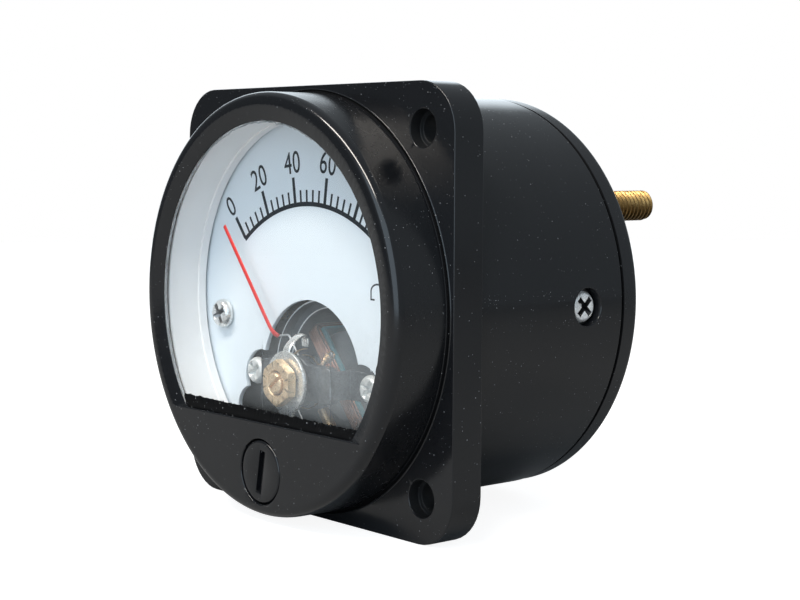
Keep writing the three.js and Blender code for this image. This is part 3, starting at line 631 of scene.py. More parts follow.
def housing():
    """The whole black moulding: bezel, solid lower segment, flange and barrel."""
    front = rounded([(0, BEZEL_FRONT), (BEZEL_R, BEZEL_FRONT), (BEZEL_R, 0)], BEZEL_EDGE, 8, False)
    profile = front[:-1] + [
        (BEZEL_R, PLINTH_FRONT - 0.06),
        (BEZEL_R + 0.06, PLINTH_FRONT),
        (PLINTH_R - 0.08, PLINTH_FRONT),
        (PLINTH_R, PLINTH_FRONT + 0.08),
        (PLINTH_R, -FLANGE_THICK / 2),
        (BARREL_R, -FLANGE_THICK / 2),
        (BARREL_R, BARREL_REAR),
        (0, BARREL_REAR),
    ]
    body = lathe(profile, 192)
    flange = plate(rounded_box(FLANGE_SIDE, FLANGE_SIDE, FLANGE_CORNER), -FLANGE_THICK, 0)
    body = combine(body, "UNION", flange)
    seat = combine(disc(BARREL_BORE, WINDOW_LIP_Y, SEGMENT_REAR + 1, 0, 160), "INTERSECT", above_chord())
    tools = [window_tool(), seat, disc(BARREL_BORE, SEGMENT_REAR, 30, 0, 160)]
    tools.append(moved(disc(ADJUSTER_R + 0.2, -20, ADJUSTER_REAR + 0.3, 0, 64), z=ADJUSTER_Z))
    tools.append(moved(disc(ADJUSTER_NECK_R + 0.3, -11, -6, 0, 32), z=ADJUSTER_Z))
    for x in (-HOLE_OFFSET, HOLE_OFFSET):
        for z in (-HOLE_OFFSET, HOLE_OFFSET):
            tools.append(moved(disc(HOLE_R, -10, 1, 0, 40), x=x, z=z))
            tools.append(moved(disc(RECESS_R, -10, RECESS_DEPTH - FLANGE_THICK, 0, 48), x=x, z=z))
    for side in (-1, 1):
        tools.append(side_recess(side, SIDE_RECESS_R, BARREL_R - SIDE_RECESS_DEPTH))
        tools.append(side_recess(side, 1.3, 20))
    body = cut(body, *tools)
    for face in body.faces:
        face.material_index = HOUSING_LOOKS.index(housing_look(face))
    return body


def rear_cover():
    """The cap behind the barrel, with a ring that reaches into it. The edge at the seam gets a darker, duller
    copy of the plastic: painted shade.
    """
    edge = rounded([(0, COVER_REAR), (COVER_R, COVER_REAR), (COVER_R, COVER_FRONT), (0, COVER_FRONT)],
                   COVER_EDGE, 8, False)
    outer = [(0, COVER_REAR), *edge[1:10], (COVER_R, COVER_FRONT + 0.15), (COVER_R - 0.15, COVER_FRONT)]
    inner = [
        (COVER_RING_R, COVER_FRONT),
        (COVER_RING_R, COVER_RING_FRONT),
        (COVER_RING_BORE, COVER_RING_FRONT),
        (COVER_RING_BORE, COVER_FRONT),
        (0, COVER_FRONT),
    ]
    body = lathe(outer + inner, 192)
    tools = []
    for side in (-1, 1):
        tools.append(moved(disc(STUD_HOLE, 0, 30, 0, 40), x=side * STUD_X, z=STUD_Z))
        tools.append(side_recess(side, 1.15, 15))
    # Faces at the seam take the second, darker material: painted shade.
    return dye(cut(body, *tools), 1, lambda middle, radius: middle.y < COVER_FRONT + 0.12)


def window_pane():
    """The pane, with cement on its round rim and black paint on its straight one."""
    half_turn = math.acos((CHORD + 0.3) / PANE_R)
    pane = plate(circle(PANE_R, 140, -half_turn, 2 * half_turn), PANE_FRONT, PANE_REAR)
    for face in pane.faces:
        if abs(face.normal.y) < 0.5:
            face.material_index = 2 if face.normal.z < -0.99 else 1
    return pane


def ripple(place, seed, height):
    """Smooth noise along a line, for an edge that was laid by hand."""
    return noise.noise(Vector((place, seed, 0.0))) * height


def window_cement():
    """The uneven bead that shows between the pane and the lip."""
    start, end = math.radians(-126), math.radians(40)
    count = 260
    path = []
    for i in range(count):
        t = start + (end - start) * i / (count - 1)
        radius = WINDOW_LIP_R - 0.04 + ripple(t * 11.0, 0.3, 0.14) + ripple(t * 47.0, 2.0, 0.16)
        path.append(around(radius, t, -10.9))
    return tube(path, 0.09, 8)


def chord_fillet():
    """The black sealant between the pane and the ledge below it, with a ragged top edge."""
    count, foot, back = 240, CHORD + 0.02, PANE_FRONT - 0.02
    lip = WINDOW_LIP_R - 0.02
    section = [(0, 0), (0.27, 0), (0.25, 0.35), (0.18, 0.75), (0.06, 1), (0, 1)]
    loops = []
    for i in range(count):
        along = 2 * i / (count - 1) - 1
        x = along * 17.6
        height = 1.32 - 0.01 * x + ripple(x * 0.9, 4.0, 0.2) + ripple(x * 4.1, 7.0, 0.18)
        loop = []
        for out, rise in section:
            z = foot + height * rise
            loop.append((along * math.sqrt(lip ** 2 - z ** 2), back - out, z))
        loops.append(loop)
    ends = [tuple(sum(axis) / len(loop) for axis in zip(*loop)) for loop in (loops[0], loops[-1])]
    return loft([[ends[0]], *loops, [ends[1]]])


def zero_adjuster():
    """The slotted disc in the bezel. Its pin stands straight above its axis when the slot is turned."""
    front = BEZEL_FRONT + 0.06
    edge = rounded([(0, front), (ADJUSTER_R, front), (ADJUSTER_R, ADJUSTER_REAR)], 0.28, 4, False)
    head = lathe(edge + [
        (ADJUSTER_NECK_R, ADJUSTER_REAR),
        (ADJUSTER_NECK_R, ADJUSTER_NECK_REAR),
        (0, ADJUSTER_NECK_REAR),
    ], 96)
    pin = disc(0.45, ADJUSTER_NECK_REAR - 0.1, -7, 0.08, 20)
    moved(pin, x=-math.sin(ADJUSTER_TURN), z=math.cos(ADJUSTER_TURN))
    half_width, half_length = ADJUSTER_SLOT_WIDTH / 2, ADJUSTER_SLOT_LENGTH / 2
    slot = box((-half_width, front - 1, -half_length), (half_width, front + ADJUSTER_SLOT_DEPTH, half_length))
    body = joined(cut(head, slot), pin)
    return moved(body, z=ADJUSTER_Z, spin=ADJUSTER_TURN)


def dial_liner():
    """The white ring round the dial, cut away in front where the solid segment is."""
    profile = [
        (LINER_BORE, LINER_FRONT),
        (LINER_R, LINER_FRONT),
        (LINER_R, LINER_REAR),
        (LINER_FOOT_BORE, LINER_REAR),
        (LINER_FOOT_BORE, LINER_FOOT_FRONT),
        (LINER_BORE, LINER_FOOT_FRONT),
    ]
    below = box((-30, -20, -30), (30, SEGMENT_REAR + 0.3, CHORD + 0.3))
    return cut(lathe(rounded(profile, 0.08), 192, True), below)


def dial_plate():
    """The dial, with its arched cut-out for the movement and the two lobes at each side of that."""
    front, rear = -6, -2
    tools = [
        moved(disc(CUTOUT_R, front, rear, 0, 128), z=PIVOT_Z),
        box((-CUTOUT_WAIST, front, -30), (CUTOUT_WAIST, rear, UPPER_LOBE_Z)),
    ]
    for side in (-1, 1):
        tools.append(moved(disc(UPPER_LOBE_R, front, rear, 0, 64), x=side * UPPER_LOBE_X, z=UPPER_LOBE_Z))
        tools.append(moved(disc(LOWER_LOBE_R, front, rear, 0, 64), x=side * LOWER_LOBE_X, z=LOWER_LOBE_Z))
        tools.append(moved(disc(1.1, front, rear, 0, 32), x=side * DIAL_SCREW_X, z=DIAL_SCREW_Z))
    return cut(plate(circle(DIAL_R, 192), DIAL_FRONT, DIAL_REAR), *tools)


# ---------- scale print ----------

def arc_band(outer, inner, start, end, front, rear, steps=96):
    turns = [start + (end - start) * i / steps for i in range(steps + 1)]
    outline = [polar(outer, t) for t in turns] + [polar(inner, t) for t in reversed(turns)]
    return moved(plate(outline, front, rear), z=PIVOT_Z)


def tick(angle, inner, outer, width, front, rear):
    mark = box((-width / 2, front, inner), (width / 2, rear, outer))
    return moved(mark, z=PIVOT_Z, spin=angle)


def numeral(text, angle, radius, height, front, rear):
    """Printed digits, a little condensed, upright along the radius."""
    curve = bpy.data.curves.new("digits", "FONT")
    curve.body = text
    curve.size = height / 0.6
    curve.align_x = "CENTER"
    curve.align_y = "CENTER"
    curve.space_character = 1.04
    curve.offset = 0.004
    curve.resolution_u = 6
    holder = linked("digits", curve)
    mesh = evaluated_mesh(holder)
    bpy.data.objects.remove(holder)
    bpy.data.curves.remove(curve)
    bm = as_bmesh(mesh)
    bmesh.ops.remove_doubles(bm, verts=bm.verts, dist=1e-5)
    middle_x, middle_y = [(min(values) + max(values)) / 2 for values in zip(*(v.co.xy for v in bm.verts))]
    for vert in bm.verts:
        vert.co = Vector(((vert.co.x - middle_x) * 0.84, front, vert.co.y - middle_y))
    thickened(bm, rear - front)
    moved(bm, z=radius)
    return moved(bm, z=PIVOT_Z, spin=angle)


def coil_symbol(x, z, front, rear):
    """The general sign for a moving-coil movement: a horseshoe outline."""
    half, arch, leg, foot, stroke = 1.3, 0.95, 1.05, 0.75, 0.2
    curve = [(math.sin(t), math.cos(t)) for t in (math.pi * (i / 24 - 0.5) for i in range(25))]
    outline = [(x + half * a, z + arch * b) for a, b in curve]
    outline += [(x + half, z - leg), (x + half - foot, z - leg), (x + half - foot, z - leg + stroke)]
    outline += [(x + half - stroke, z - leg + stroke)]
    outline += [(x + (half - stroke) * a, z + (arch - stroke) * b) for a, b in reversed(curve)]
    outline += [(x - half + stroke, z - leg + stroke), (x - half + foot, z - leg + stroke)]
    outline += [(x - half + foot, z - leg), (x - half, z - leg)]
    return plate(outline, front, rear)


def dial_print():
    """The scale: arc, ticks and numerals, with the coil sign beside them."""
    front, rear = DIAL_FRONT - 0.025, DIAL_FRONT - 0.002
    parts = [arc_band(21.52, 20.98, REST - 0.006, REST + SCALE_SPAN + 0.006, front, rear)]
    for i in range(26):
        angle = REST + SCALE_SPAN * i / 25
        major = i % 5 == 0
        outer, width = (24.6, 0.5) if major else (22.95, 0.32)
        parts.append(tick(angle, 21.4, outer, width, front, rear))
    for i in range(6):
        angle = REST + SCALE_SPAN * i / 5
        parts.append(numeral(str(20 * i), angle, 26.4, 2.3, front, rear))
    parts.append(coil_symbol(12.85, 2.1, front, rear))
    return joined(*parts)


# ---------- screws, studs and nuts ----------

def cross_recess(reach, width, depth, top):
    """A tapered cross-shaped tool, its mouth above y = top."""
    def outline(arm, half):
        points = []
        for quarter in range(4):
            turn = Matrix.Rotation(-quarter * math.pi / 2, 2)
            points += [turn @ Vector(corner) for corner in ((half, arm), (half, half), (arm, half))]
        return points

    loops = []
    for y, scale in ((top - 0.5, 1.15), (top, 1.0), (top + depth * 0.7, 0.72), (top + depth, 0.3)):
        loops.append([(x, y, z) for x, z in outline(reach * scale, width * (0.5 + 0.5 * scale))])
    return loft([[(0, top - 0.5, 0)], *loops, [(0, top + depth * 1.15, 0)]])


def pan_head(radius, thickness, shank, length, spin):
    """A pan-head screw along +Y with the underside of its head at y = 0 and a deep cross recess, whose inside
    takes the second, darker material as painted shade.
    """
    corners = [(0, -thickness), (radius * 0.82, -thickness), (radius, -thickness * 0.35), (radius, 0)]
    profile = rounded(corners, radius * 0.35, 5, False) + [(shank, 0), (shank, length - shank), (0, length)]
    reach = radius * 0.7
    body = cut(lathe(profile, 72), cross_recess(reach, radius * 0.17, thickness * 1.05, -thickness))
    # The inside of the recess takes the second material: painted shade.
    dye(body, 1, lambda middle, from_axis: from_axis < reach and 0.06 - thickness < middle.y < 0)
    return moved(body, spin=spin)


def sideways(bm, side, reach):
    """Turns a screw so that it points along X into the barrel's side."""
    turn = Matrix.Rotation(side * math.pi / 2, 4, "Z")
    return moved(bm, x=side * reach, y=SIDE_Y, matrix=turn)


def threaded_stud(front, rear, radius, pitch):
    """A stud with a true helical thread and chamfered ends."""
    depth = 0.5 * pitch
    shape = [(0.0, 0.0), (0.13, 0.0), (0.46, depth), (0.6, depth), (0.93, 0.0)]
    sides = 40
    turns = int((rear - front) / pitch) + 2
    bm = bmesh.new()

    def vertex(row, i):
        whole, part = divmod(row, len(shape))
        share, sink = shape[part]
        y = front + pitch * (whole - 1 + share + i / sides)
        y = min(max(y, front), rear)
        limit = radius - max(0.0, 0.55 - (y - front), 0.55 - (rear - y))
        return around(min(radius - sink, limit), TURN * i / sides, y)

    rows = []
    for row in range(turns * len(shape) + 1):
        rows.append([bm.verts.new(vertex(row, i)) for i in range(sides + 1)])
    for a, b in zip(rows, rows[1:]):
        for i in range(sides):
            bm.faces.new((a[i], a[i + 1], b[i + 1], b[i]))
    bmesh.ops.remove_doubles(bm, verts=bm.verts, dist=1e-4)
    bmesh.ops.dissolve_degenerate(bm, dist=1e-4, edges=bm.edges)
    bmesh.ops.holes_fill(bm, edges=[e for e in bm.edges if e.is_boundary], sides=0)
    bmesh.ops.recalc_face_normals(bm, faces=bm.faces)
    return bm


def hex_nut(across, hole, front, rear, chamfer=0.35):
    """A hexagonal nut whose corners are turned away at both faces."""
    corner = across / math.sqrt(3)
    inside, outside, drop = corner - chamfer, corner + 0.05, chamfer * 0.62
    dome = lathe([(0, front), (inside, front), (outside, front + drop), (outside, rear - drop),
                  (inside, rear), (0, rear)], 96)
    bore = lathe([(0, front - 1), (hole + 1.2, front - 1), (hole, front + 0.2), (hole, rear - 0.2),
                  (hole + 1.2, rear + 1), (0, rear + 1)], 48)
    return cut(combine(plate(circle(corner, 6), front, rear), "INTERSECT", dome), bore)


def terminal_lug(side):
    """The tag under the cover: an eye round the stud and a tail towards the middle."""
    front, rear, reach = COVER_FRONT - 0.75, COVER_FRONT - 0.3, -side * 7.5
    eye = disc(3.6, front, rear, 0, 64)
    tail = box((min(0, reach), front, -1), (max(0, reach), rear, 1))
    hole = disc(STUD_R + 0.2, front - 1, rear + 1, 0, 40)
    return cut(combine(eye, "UNION", tail), hole)


# ---------- movement ----------

def jewel_screw(front, rear, spin):
    """A slotted brass screw, its front end chamfered."""
    corners = [(0, front), (1.05, front), (1.3, front + 0.22), (1.3, rear), (0, rear)]
    profile = rounded(corners, 0.06, 2, False)
    slot = box((-2, front - 1, -0.2), (2, front + 0.6, 0.2))
    cup = disc(0.85, rear - 1.2, rear + 1, 0, 32)
    return moved(cut(lathe(profile, 56), slot, cup), spin=spin)


def upright(points):
    """A path in the plane x = 0 from points of y and z."""
    return [(0, y, z) for y, z in points]


def zero_lever():
    """A disc with a fork below and a narrow arm above that bends back to the hairspring."""
    front, rear = LEVER_FRONT, LEVER_REAR
    tail = box((-1.3, front, -11), (1.3, rear, -2.6))
    body = combine(disc(LEVER_R, front, rear, 0.0, 96), "UNION", tail)
    hole = disc(1.6, front - 1, rear + 1, 0, 48)
    fork = box((-0.6, front - 1, -12.4), (0.6, rear + 1, -8.4))
    path = upright([(-7.73, 3.1), (-7.73, 3.7), (-7.62, 4.1), (-7.2, 4.6), (-6.6, 5.1), (-6.0, 5.45),
                    (-5.5, 5.58), (-5.15, 5.45), (-4.95, 5.1), (-4.9, 4.1)])
    arm = tube(path, 1, 16, flat=(0.68, 0.17, Vector((0, 0.6, -0.8))))
    return moved(joined(cut(body, hole, fork), arm), z=PIVOT_Z)


def spiral(inner, outer, turns, y, half_height, half_band, steps=48):
    """A hairspring: a thin ribbon wound in a flat spiral."""
    count = int(turns * steps)
    path = []
    for i in range(count + 1):
        path.append(around(inner + (outer - inner) * i / count, TURN * i / steps, y))
    return tube(path, 1, 4, flat=(half_band * 1.414, half_height * 1.414, Vector((0, 1, 0))))


def yoke_ring():
    """The iron ring round the coil: a lip and a ledge inside it, each with a turned edge of bare metal that
    is painted near-white as a highlight.
    """
    edge, ledge, step, chamfer = 9.42, 8.82, YOKE_FRONT + 1.55, 0.12
    profile = [(YOKE_R, YOKE_FRONT), (YOKE_R, YOKE_REAR), (YOKE_BORE, YOKE_REAR), (YOKE_BORE, step + chamfer),
               (YOKE_BORE + chamfer, step), (ledge, step), (edge, step - chamfer), (edge, YOKE_FRONT)]
    # The turned faces that get the painted highlight.
    def bright(middle, radius):
        on_ledge = abs(middle.y - step) < 0.1 and radius < YOKE_BORE + chamfer
        return on_ledge or middle.y < YOKE_FRONT + NEAR

    return moved(dye(lathe(profile, 128, True), 1, bright), z=PIVOT_Z)


def front_bridge():
    """A bar across the movement with a round boss, legs at both ends and a foot under each screw."""
    front, rear = BRIDGE_FRONT, BRIDGE_REAR
    middle = plate(rounded_box(2 * RISER_X, 4.4, 0.8), front, rear)
    parts = [disc(3.1, front, rear, 0, 64)]
    for side in (-1, 1):
        inner, outer, post = side * (RISER_X - 0.8), side * RISER_X, side * POST_X
        parts.append(box((min(inner, outer), front + 0.1, -1.7), (max(inner, outer), FOOT_REAR, 1.7)))
        parts.append(box((min(inner, post), FOOT_FRONT, -1.8), (max(inner, post), FOOT_REAR, 1.8)))
        parts.append(moved(disc(1.8, FOOT_FRONT, FOOT_REAR, 0, 48), x=post))
    tools = [disc(BRIDGE_HOLE, -8, -3, 0, 40)]
    for side in (-1, 1):
        tools.append(moved(disc(POST_HOLE, FOOT_FRONT - 1, 0, 0, 24), x=side * POST_X))
    return moved(cut(combine(middle, "UNION", *parts), *tools), z=PIVOT_Z)


def wound_turns():
    """Two layers of wire side by side round the former, drawn for an upright pointer."""
    inner, front, rear = COIL_INNER + 0.55, COIL_FRONT - 0.55, COIL_REAR + 0.55
    wire, wire_radius, turns, corner = 0.36, 0.17, 6, 0.5
    parts = []
    for layer in range(2):
        grow = 0.19 + layer * 0.34
        z, y0, y1 = inner + grow, front - grow, rear + grow
        loop = []
        for quarter, (sz, cy) in enumerate([(1, y1), (1, y0), (-1, y0), (-1, y1)]):
            sy = 1 if cy == y1 else -1
            for i in range(5):
                a = math.pi / 2 * (quarter + i / 4)
                y = cy + corner * (math.cos(a) - sy)
                loop.append((y, sz * (z - corner) + corner * math.sin(a)))
        for turn in range(turns - layer):
            x = (turn - (turns - layer - 1) / 2) * wire
            path = [(x, y, height) for y, height in [*loop, *loop[:2]]]
            parts.append(tube(path, wire_radius, 6, cap=False))
    return parts


def former():
    """The coil's former: a flat rectangular loop."""
    def block(width, rise):
        z, front, rear = COIL_INNER + rise, COIL_FRONT - rise, COIL_REAR + rise
        return box((-width, front, -z), (width, rear, z))

    return cut(block(COIL_HALF, 0.4), block(3, 0))


def upright_to_rest(bm):
    """Turns what was drawn for an upright pointer to the zero mark."""
    return moved(bm, z=PIVOT_Z, spin=REST)


def pointer_blade():
    """A slim flat blade, bent back at its root."""
    path = [(-6.55, 23.4), (-6.56, 20), (-6.56, 14), (-6.56, 9.5), (-6.55, 8.0), (-6.52, 7.6),
            (-6.4, 7.2), (-6.2, 6.85), (-6.0, 6.6), (-5.85, 6.5)]
    widths = [0.27, 0.29, 0.3, 0.3, 0.3, 0.31, 0.34, 0.35, 0.33, 0.28]
    loops = []
    turns = [TURN * k / 12 for k in range(12)]
    for (y, z), half in zip(path, widths):
        loops.append([(half * math.cos(t), y + 0.13 * math.sin(t), z + 0.1 * math.sin(t)) for t in turns])
    return loft([[(0, *path[0])], *loops, [(0, *path[-1])]])


def stem():
    """The thin wire that carries the pointer."""
    points = [(-4.28, 1.1), (-4.28, 6.1), (-4.33, 6.45), (-4.5, 6.58), (-4.9, 6.6), (-6.0, 6.58)]
    return tube(upright(points), 0.13, 12)


def hub():
    """The cross that carries the pointer's wire and the balance coils."""
    across = box((-5.75, HUB_FRONT, -0.27), (5.75, HUB_REAR, 0.27))
    tail = box((-0.27, HUB_FRONT, -7), (0.27, HUB_REAR, 0))
    centre = disc(1, HUB_FRONT - 0.03, HUB_REAR + 0.03, 0, 48)
    return cut(combine(across, "UNION", tail, centre), disc(0.45, -5, -3, 0, 24))


def weight(length, outer, inner):
    """A small coil of wire that balances the movement, along Y."""
    wire, steps = 0.24, 16
    last = int(length / wire) * steps
    radius = (outer + inner) / 2
    path = []
    for i in range(last + 1):
        path.append(around(radius, TURN * i / steps, (wire - length) / 2 + (length - wire) * i / last))
    return tube(path, (outer - inner) / 2, 8)


def lead(points, radius=0.45):
    """An insulated lead along a smooth curve through its points."""
    marks = [Vector(p) for p in points]
    last = len(marks) - 1
    path = []
    for i in range(last):
        p0, p1, p2, p3 = marks[max(i - 1, 0)], marks[i], marks[i + 1], marks[min(i + 2, last)]
        for k in range(12):
            t = k / 12
            path.append(0.5 * (2 * p1 + (p2 - p0) * t + (2 * p0 - 5 * p1 + 4 * p2 - p3) * t * t
                               + (3 * p1 - p0 - 3 * p2 + p3) * t ** 3))
    path.append(marks[-1])
    return tube(path, radius, 14)


# ---------- the pieces ----------

def build_case():
    piece("case_housing", housing(), HOUSING_LOOKS, "housing", 0.14, 30, 3)
    piece("case_rear_cover", rear_cover(), [BLACK_COVER, SEAM_PAINTED_SHADE], "rear_cover", 0.1, 30)
    piece("case_window", window_pane(), [GLASS, RIM, SEALANT], "window_pane")
    piece("case_window_cement", window_cement(), GLUE, angle=60)
    piece("case_window_sealant", chord_fillet(), SEALANT, angle=60)
    piece("case_adjuster", zero_adjuster(), BLACK, "zero_adjust_screw", 0.06,
          body="zero_adjuster")
    piece("case_liner", dial_liner(), WHITE, "dial_liner")
    piece("dial_face", dial_plate(), DIAL, "dial_plate", 0.05)
    piece("dial_scale_print", dial_print(), INK)
    for name, side in SIDES:
        screw = pan_head(1.85, 1, 0.8, 5, side * 0.5)
        moved(screw, x=side * DIAL_SCREW_X, y=DIAL_FRONT - 0.3, z=DIAL_SCREW_Z)
        piece(f"dial_screw_cross_{name}", screw, [NICKEL, SCREW_RECESS_PAINTED_SHADE], f"dial_screw_{name}", 0.04)
        flank = sideways(pan_head(1.9, 0.85, 1, 4, 0.78), -side, BARREL_R - SIDE_RECESS_DEPTH + 0.15)
        piece(f"side_screw_cross_{name}", flank, [FLANK_NICKEL_PAINTED_SHEEN, SIDE_SCREW_RECESS_PAINTED_SHADE],
              f"side_screw_{name}", 0.04)


def build_terminals():
    """Each row is a piece, its mesh, the CAD node it stands for, its bevel and its sharp angle."""
    for name, side in SIDES:
        outer_nut = hex_nut(STUD_NUT, STUD_HOLE, COVER_REAR + 1.3, COVER_REAR + 4.4)
        inner_nut = hex_nut(STUD_NUT, STUD_HOLE, COVER_FRONT - 3.8, COVER_FRONT - 1.05)
        washer = ring(4, 2.15, COVER_REAR + 0.3, COVER_REAR + 1, 0.12, 72)
        rows = [
            ("stud_thread", threaded_stud(STUD_FRONT, STUD_REAR, STUD_R, PITCH), "terminal_stud", 0, 50),
            ("stud_nut", moved(outer_nut, spin=0.3), "terminal_outer_nut", 0.06, 32),
            ("stud_inner_nut", inner_nut, "terminal_inner_nut", 0.06, 32),
            ("stud_washer", washer, "terminal_washer", 0, 32),
            ("stud_tag", terminal_lug(side), "terminal_lug", 0.05, 32),
        ]
        for label, bm, node, bevel, angle in rows:
            moved(bm, x=side * STUD_X, z=STUD_Z)
            piece(f"{label}_{name}", bm, STUD_BRASS, f"{node}_{name}", bevel, angle)


def build_movement():
    """The still parts of the movement and the lever, placed on the movement's axis."""
    axis = {"z": PIVOT_Z}
    piece("movement_yoke", yoke_ring(), [IRON, TURNED_EDGE_PAINTED_HIGHLIGHT], "yoke_ring")
    core = moved(disc(MAGNET_R, MAGNET_FRONT, MAGNET_REAR, 0.25, 96), **axis)
    piece("movement_core", core, MAGNET, "magnet_core")
    piece("movement_bridge", front_bridge(), ALLOY, "front_bridge", 0.12)
    washer = moved(ring(2.9, 1.5, LEVER_REAR + 0.25, BRIDGE_FRONT - 0.25, 0.08, 64), **axis)
    piece("movement_fibre_washer", washer, FIBRE, "lever_washer")
    for name, side in SIDES:
        screw = pan_head(1.7, 0.85, 0.65, 5, 0.6 * side)
        moved(screw, x=side * POST_X, y=FOOT_FRONT - 0.3, z=PIVOT_Z)
        piece(f"bridge_screw_cross_{name}", screw, [SATIN, SATIN],
              f"bridge_screw_{name}", 0.04)
        post = cut(disc(1.4, FOOT_REAR + 0.3, 17.2, 0.1, 48), disc(POST_HOLE, -4, 2, 0, 24))
        moved(post, x=side * POST_X, z=PIVOT_Z)
        piece(f"bridge_post_{name}", post, ALUMINIUM, f"bridge_pillar_{name}")
    nut = moved(hex_nut(5, BRIDGE_HOLE, NUT_FRONT, NUT_REAR, 0.3), **axis)
    piece("pivot_lock_nut", nut, LIGHT_BRASS, "front_lock_nut", 0.05)
    screw = moved(jewel_screw(SCREW_FRONT, SCREW_REAR, -0.67), **axis)
    piece("pivot_jewel_screw", screw, LIGHT_BRASS, "front_jewel_screw", 0.04)
    piece("lever_plate", zero_lever(), LEVER_NICKEL, "zero_lever", 0.06, body="zero_lever")
    hair = moved(spiral(0.9, 3.8, 4, -4.775, 0.17, 0.06), **axis)
    piece("hairspring_front", hair, BRASS, "front_hairspring", angle=50, body="zero_lever")
    back = moved(spiral(1, 3.8, 4, 13.3, 0.19, 0.06), **axis)
    piece("hairspring_rear", back, BRASS, "rear_hairspring", angle=50)


def build_moving_coil():
    """Each row is a piece, its mesh for an upright pointer, look, slot, CAD node, bevel and sharp angle."""
    rows = [
        ("coil_frame", former(), TEAL, "aluminium", "coil_former", 0.05, 32),
        ("coil_wires", joined(*wound_turns()), COPPER, "copper_wire", "coil_winding", 0, 60),
        ("pointer_blade", pointer_blade(), RED, "red_paint", "pointer", 0, 50),
        ("pointer_wire", stem(), STEM_METAL, "steel", "pointer_stem", 0, 50),
        ("pointer_cross", hub(), ALUMINIUM, "aluminium", "pointer_hub", 0.04, 32),
    ]
    along_x, along_z = Matrix.Rotation(math.pi / 2, 4, "Z"), Matrix.Rotation(math.pi / 2, 4, "X")
    places = [("left", 1.4, 0.56, 0.36, -5, 0, along_x), ("right", 1.4, 0.56, 0.36, 5, 0, along_x),
              ("tail", 2.8, 0.7, 0.38, 0, -5.55, along_z)]
    for name, length, outer, inner, x, z, turn in places:
        coil = moved(weight(length, outer, inner), x=x, y=HUB_Y, z=z, matrix=turn)
        rows.append((f"balance_coil_{name}", coil, BRASS, "brass", f"balance_weight_{name}", 0, 60))
    for name, bm, look, slot, node, bevel, angle in rows:
        piece(name, upright_to_rest(bm), look, node, bevel, angle, body="moving_coil")


def build_leads():
    left = [(-6.3, 22.35, 11.3), (-7, 20, 7), (-6, 16, 1), (-3.4, 15, -3), (-1.3, 15.6, -5)]
    right = [(6.3, 22.35, 11.3), (9.5, 19.5, 8), (12.6, 13, 2), (12.6, 3, -3.6), (11.8, -2, -6.6)]
    piece("lead_sleeve_left", lead(left), BLACK_LEAD, "lead_wire_left")
    piece("lead_sleeve_right", lead(right), RED_LEAD, "lead_wire_right")


def dress_frame():
    """Gives every CAD node that still shows its material."""
    rows = [
        (STEEL, "zero_adjust_clip front_pivot rear_pivot"),
        (BRASS, "dial_pillar_left dial_pillar_right rear_jewel_screw rear_lock_nut rear_spring_anchor"),
        (ALUMINIUM, "core_keeper_left core_keeper_right magnet_carrier movement_base"),
        (NICKEL, "movement_screw_upper movement_screw_lower"),
        (RUBY, "front_jewel rear_jewel"),
    ]
    looks = {name: look for look, names in rows for name in names.split()}
    for name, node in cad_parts.items():
        if node.hide_render:
            continue
        look = looks[name]
        if not node.material_slots:
            node.data.materials.append(look)
        for slot in node.material_slots:
            slot.link = "OBJECT"
            slot.material = look


# ---------- stage ----------

def build_stage():
    """A pale floor that glows for the camera only, so that the black plastic doesn't mirror it."""
    look = Finish("pale_floor")
    look.fix("Specular IOR Level", 0.1)
    look.set("Base Color", look.mix(look.noise(0.02, 3), (0.36, 0.36, 0.36), (0.34, 0.34, 0.343)))
    look.set("Roughness", look.ramp(look.noise(0.2, 3), 0.3, 0.7, 0.8, 0.95))
    look.fix("Emission Color", (1, 1, 1, 1))
    seen = look.nodes.new("ShaderNodeLightPath").outputs["Is Camera Ray"]
    look.set("Emission Strength", look.ramp(seen, 0.0, 1.0, 0.0, 0.9))
    bm = bmesh.new()
    bmesh.ops.create_circle(bm, cap_ends=True, segments=96, radius=0.6,
                            matrix=Matrix.Translation((0, 0.1, -0.02605)))
    mesh = as_mesh("floor", bm)
    mesh.materials.append(look.material)
    linked("floor", mesh)


def area_light(name, toward, distance, size, power, colour):
    """A soft lamp in metres and watts, aimed at the middle of the flange."""
    data = bpy.data.lights.new(name, "AREA")
    data.shape = "RECTANGLE"
    data.size, data.size_y = size
    data.energy = power
    data.color = colour
    lamp = linked(name, data)
    direction = Vector(toward).normalized()
    lamp.location = direction * distance
    lamp.rotation_mode = "QUATERNION"
    lamp.rotation_quaternion = (-direction).to_track_quat("-Z", "Y")
    return lamp


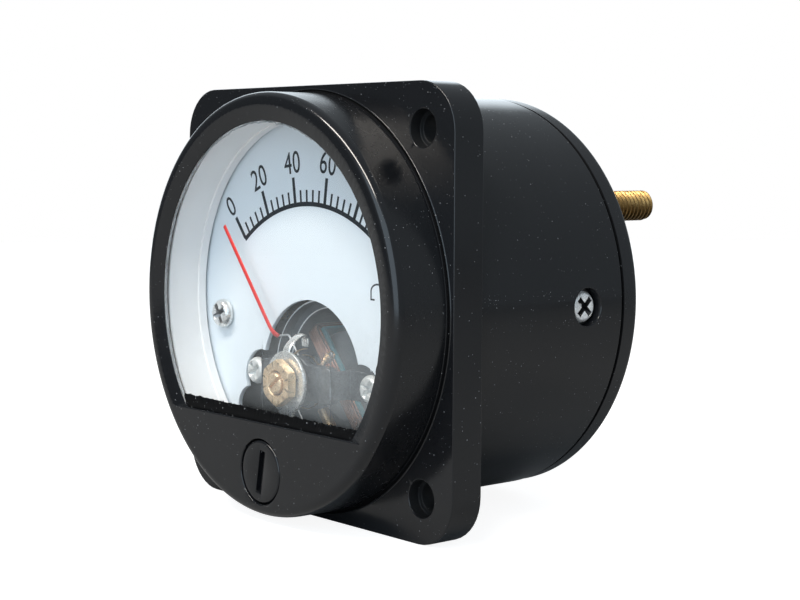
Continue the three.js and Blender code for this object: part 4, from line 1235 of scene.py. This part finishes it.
def build_light():
    """A bluish room that only reflections and the object see, a white backdrop, and three soft lamps."""
    world = bpy.data.worlds.new("studio")
    bpy.context.scene.world = world
    world.use_nodes = True
    tree = Tree(world.node_tree)
    backdrop = tree.nodes["Background"]
    backdrop.inputs["Color"].default_value = (1, 1, 1, 1)
    backdrop.inputs["Strength"].default_value = 1.0
    place = tree.node("ShaderNodeTexCoord").outputs["Generated"]
    strength = 0.36
    # Each lobe darkens or brightens the room one way: its direction, outer and inner cosine, and gain.
    for toward, low, high, gain in [((-0.78, -0.62, 0.05), 0.72, 0.93, -0.24),
                                    ((-0.78, 0.62, 0.1), 0.87, 0.96, 1.6)]:
        facing = tree.node("ShaderNodeVectorMath")
        facing.operation = "DOT_PRODUCT"
        tree.feed(facing.inputs[0], place)
        tree.feed(facing.inputs[1], Vector(toward).normalized())
        lobe = tree.ramp(facing.outputs["Value"], low, high, 0.0, gain)
        lobe.node.interpolation_type = "SMOOTHSTEP"
        strength = tree.math("ADD", lobe, strength)
    room = tree.node("ShaderNodeBackground", Color=(0.84, 0.93, 1.0, 1), Strength=strength)
    either = tree.node("ShaderNodeMixShader")
    tree.feed(either.inputs[0], tree.node("ShaderNodeLightPath").outputs["Is Camera Ray"])
    tree.feed(either.inputs[1], room.outputs[0])
    tree.feed(either.inputs[2], backdrop.outputs[0])
    tree.feed(tree.nodes["World Output"].inputs["Surface"], either.outputs[0])
    area_light("key", (0.05, -0.55, 0.83), 0.55, (0.5, 0.08), 3.5, (1.0, 0.94, 0.86))
    area_light("front_fill", (0.5, -0.8, 0.28), 0.8, (1.0, 0.9), 5.2, (0.7, 0.86, 1.0))
    # This one lights only the dial: it leaves no bright spot on the black plastic.
    soft = area_light("low_fill", (0.62, -0.78, -0.02), 0.5, (0.3, 0.1), 0.45, (0.86, 0.93, 1.0))
    soft.visible_glossy = False
    bpy.context.scene.view_settings.view_transform = "Standard"


def build_camera():
    data = bpy.data.cameras.new("camera")
    data.sensor_width = 36
    data.sensor_fit = "HORIZONTAL"
    data.lens = 75.6655
    data.clip_start = 0.005
    data.clip_end = 20
    camera = linked("camera", data)
    right = Vector((0.64611537, 0.76322978, 0.00390178))
    up = Vector((-0.06859421, 0.05297575, 0.99623712))
    back = Vector((0.76015114, -0.64395176, 0.08658159))
    turn = Matrix((right, up, back)).transposed().to_4x4()
    turn.translation = Vector((161.1609, -126.4894, 17.8882)) * MM
    camera.matrix_world = turn
    bpy.context.scene.camera = camera


build_case()
build_terminals()
build_movement()
build_moving_coil()
build_leads()
dress_frame()
build_stage()
build_light()
build_camera()
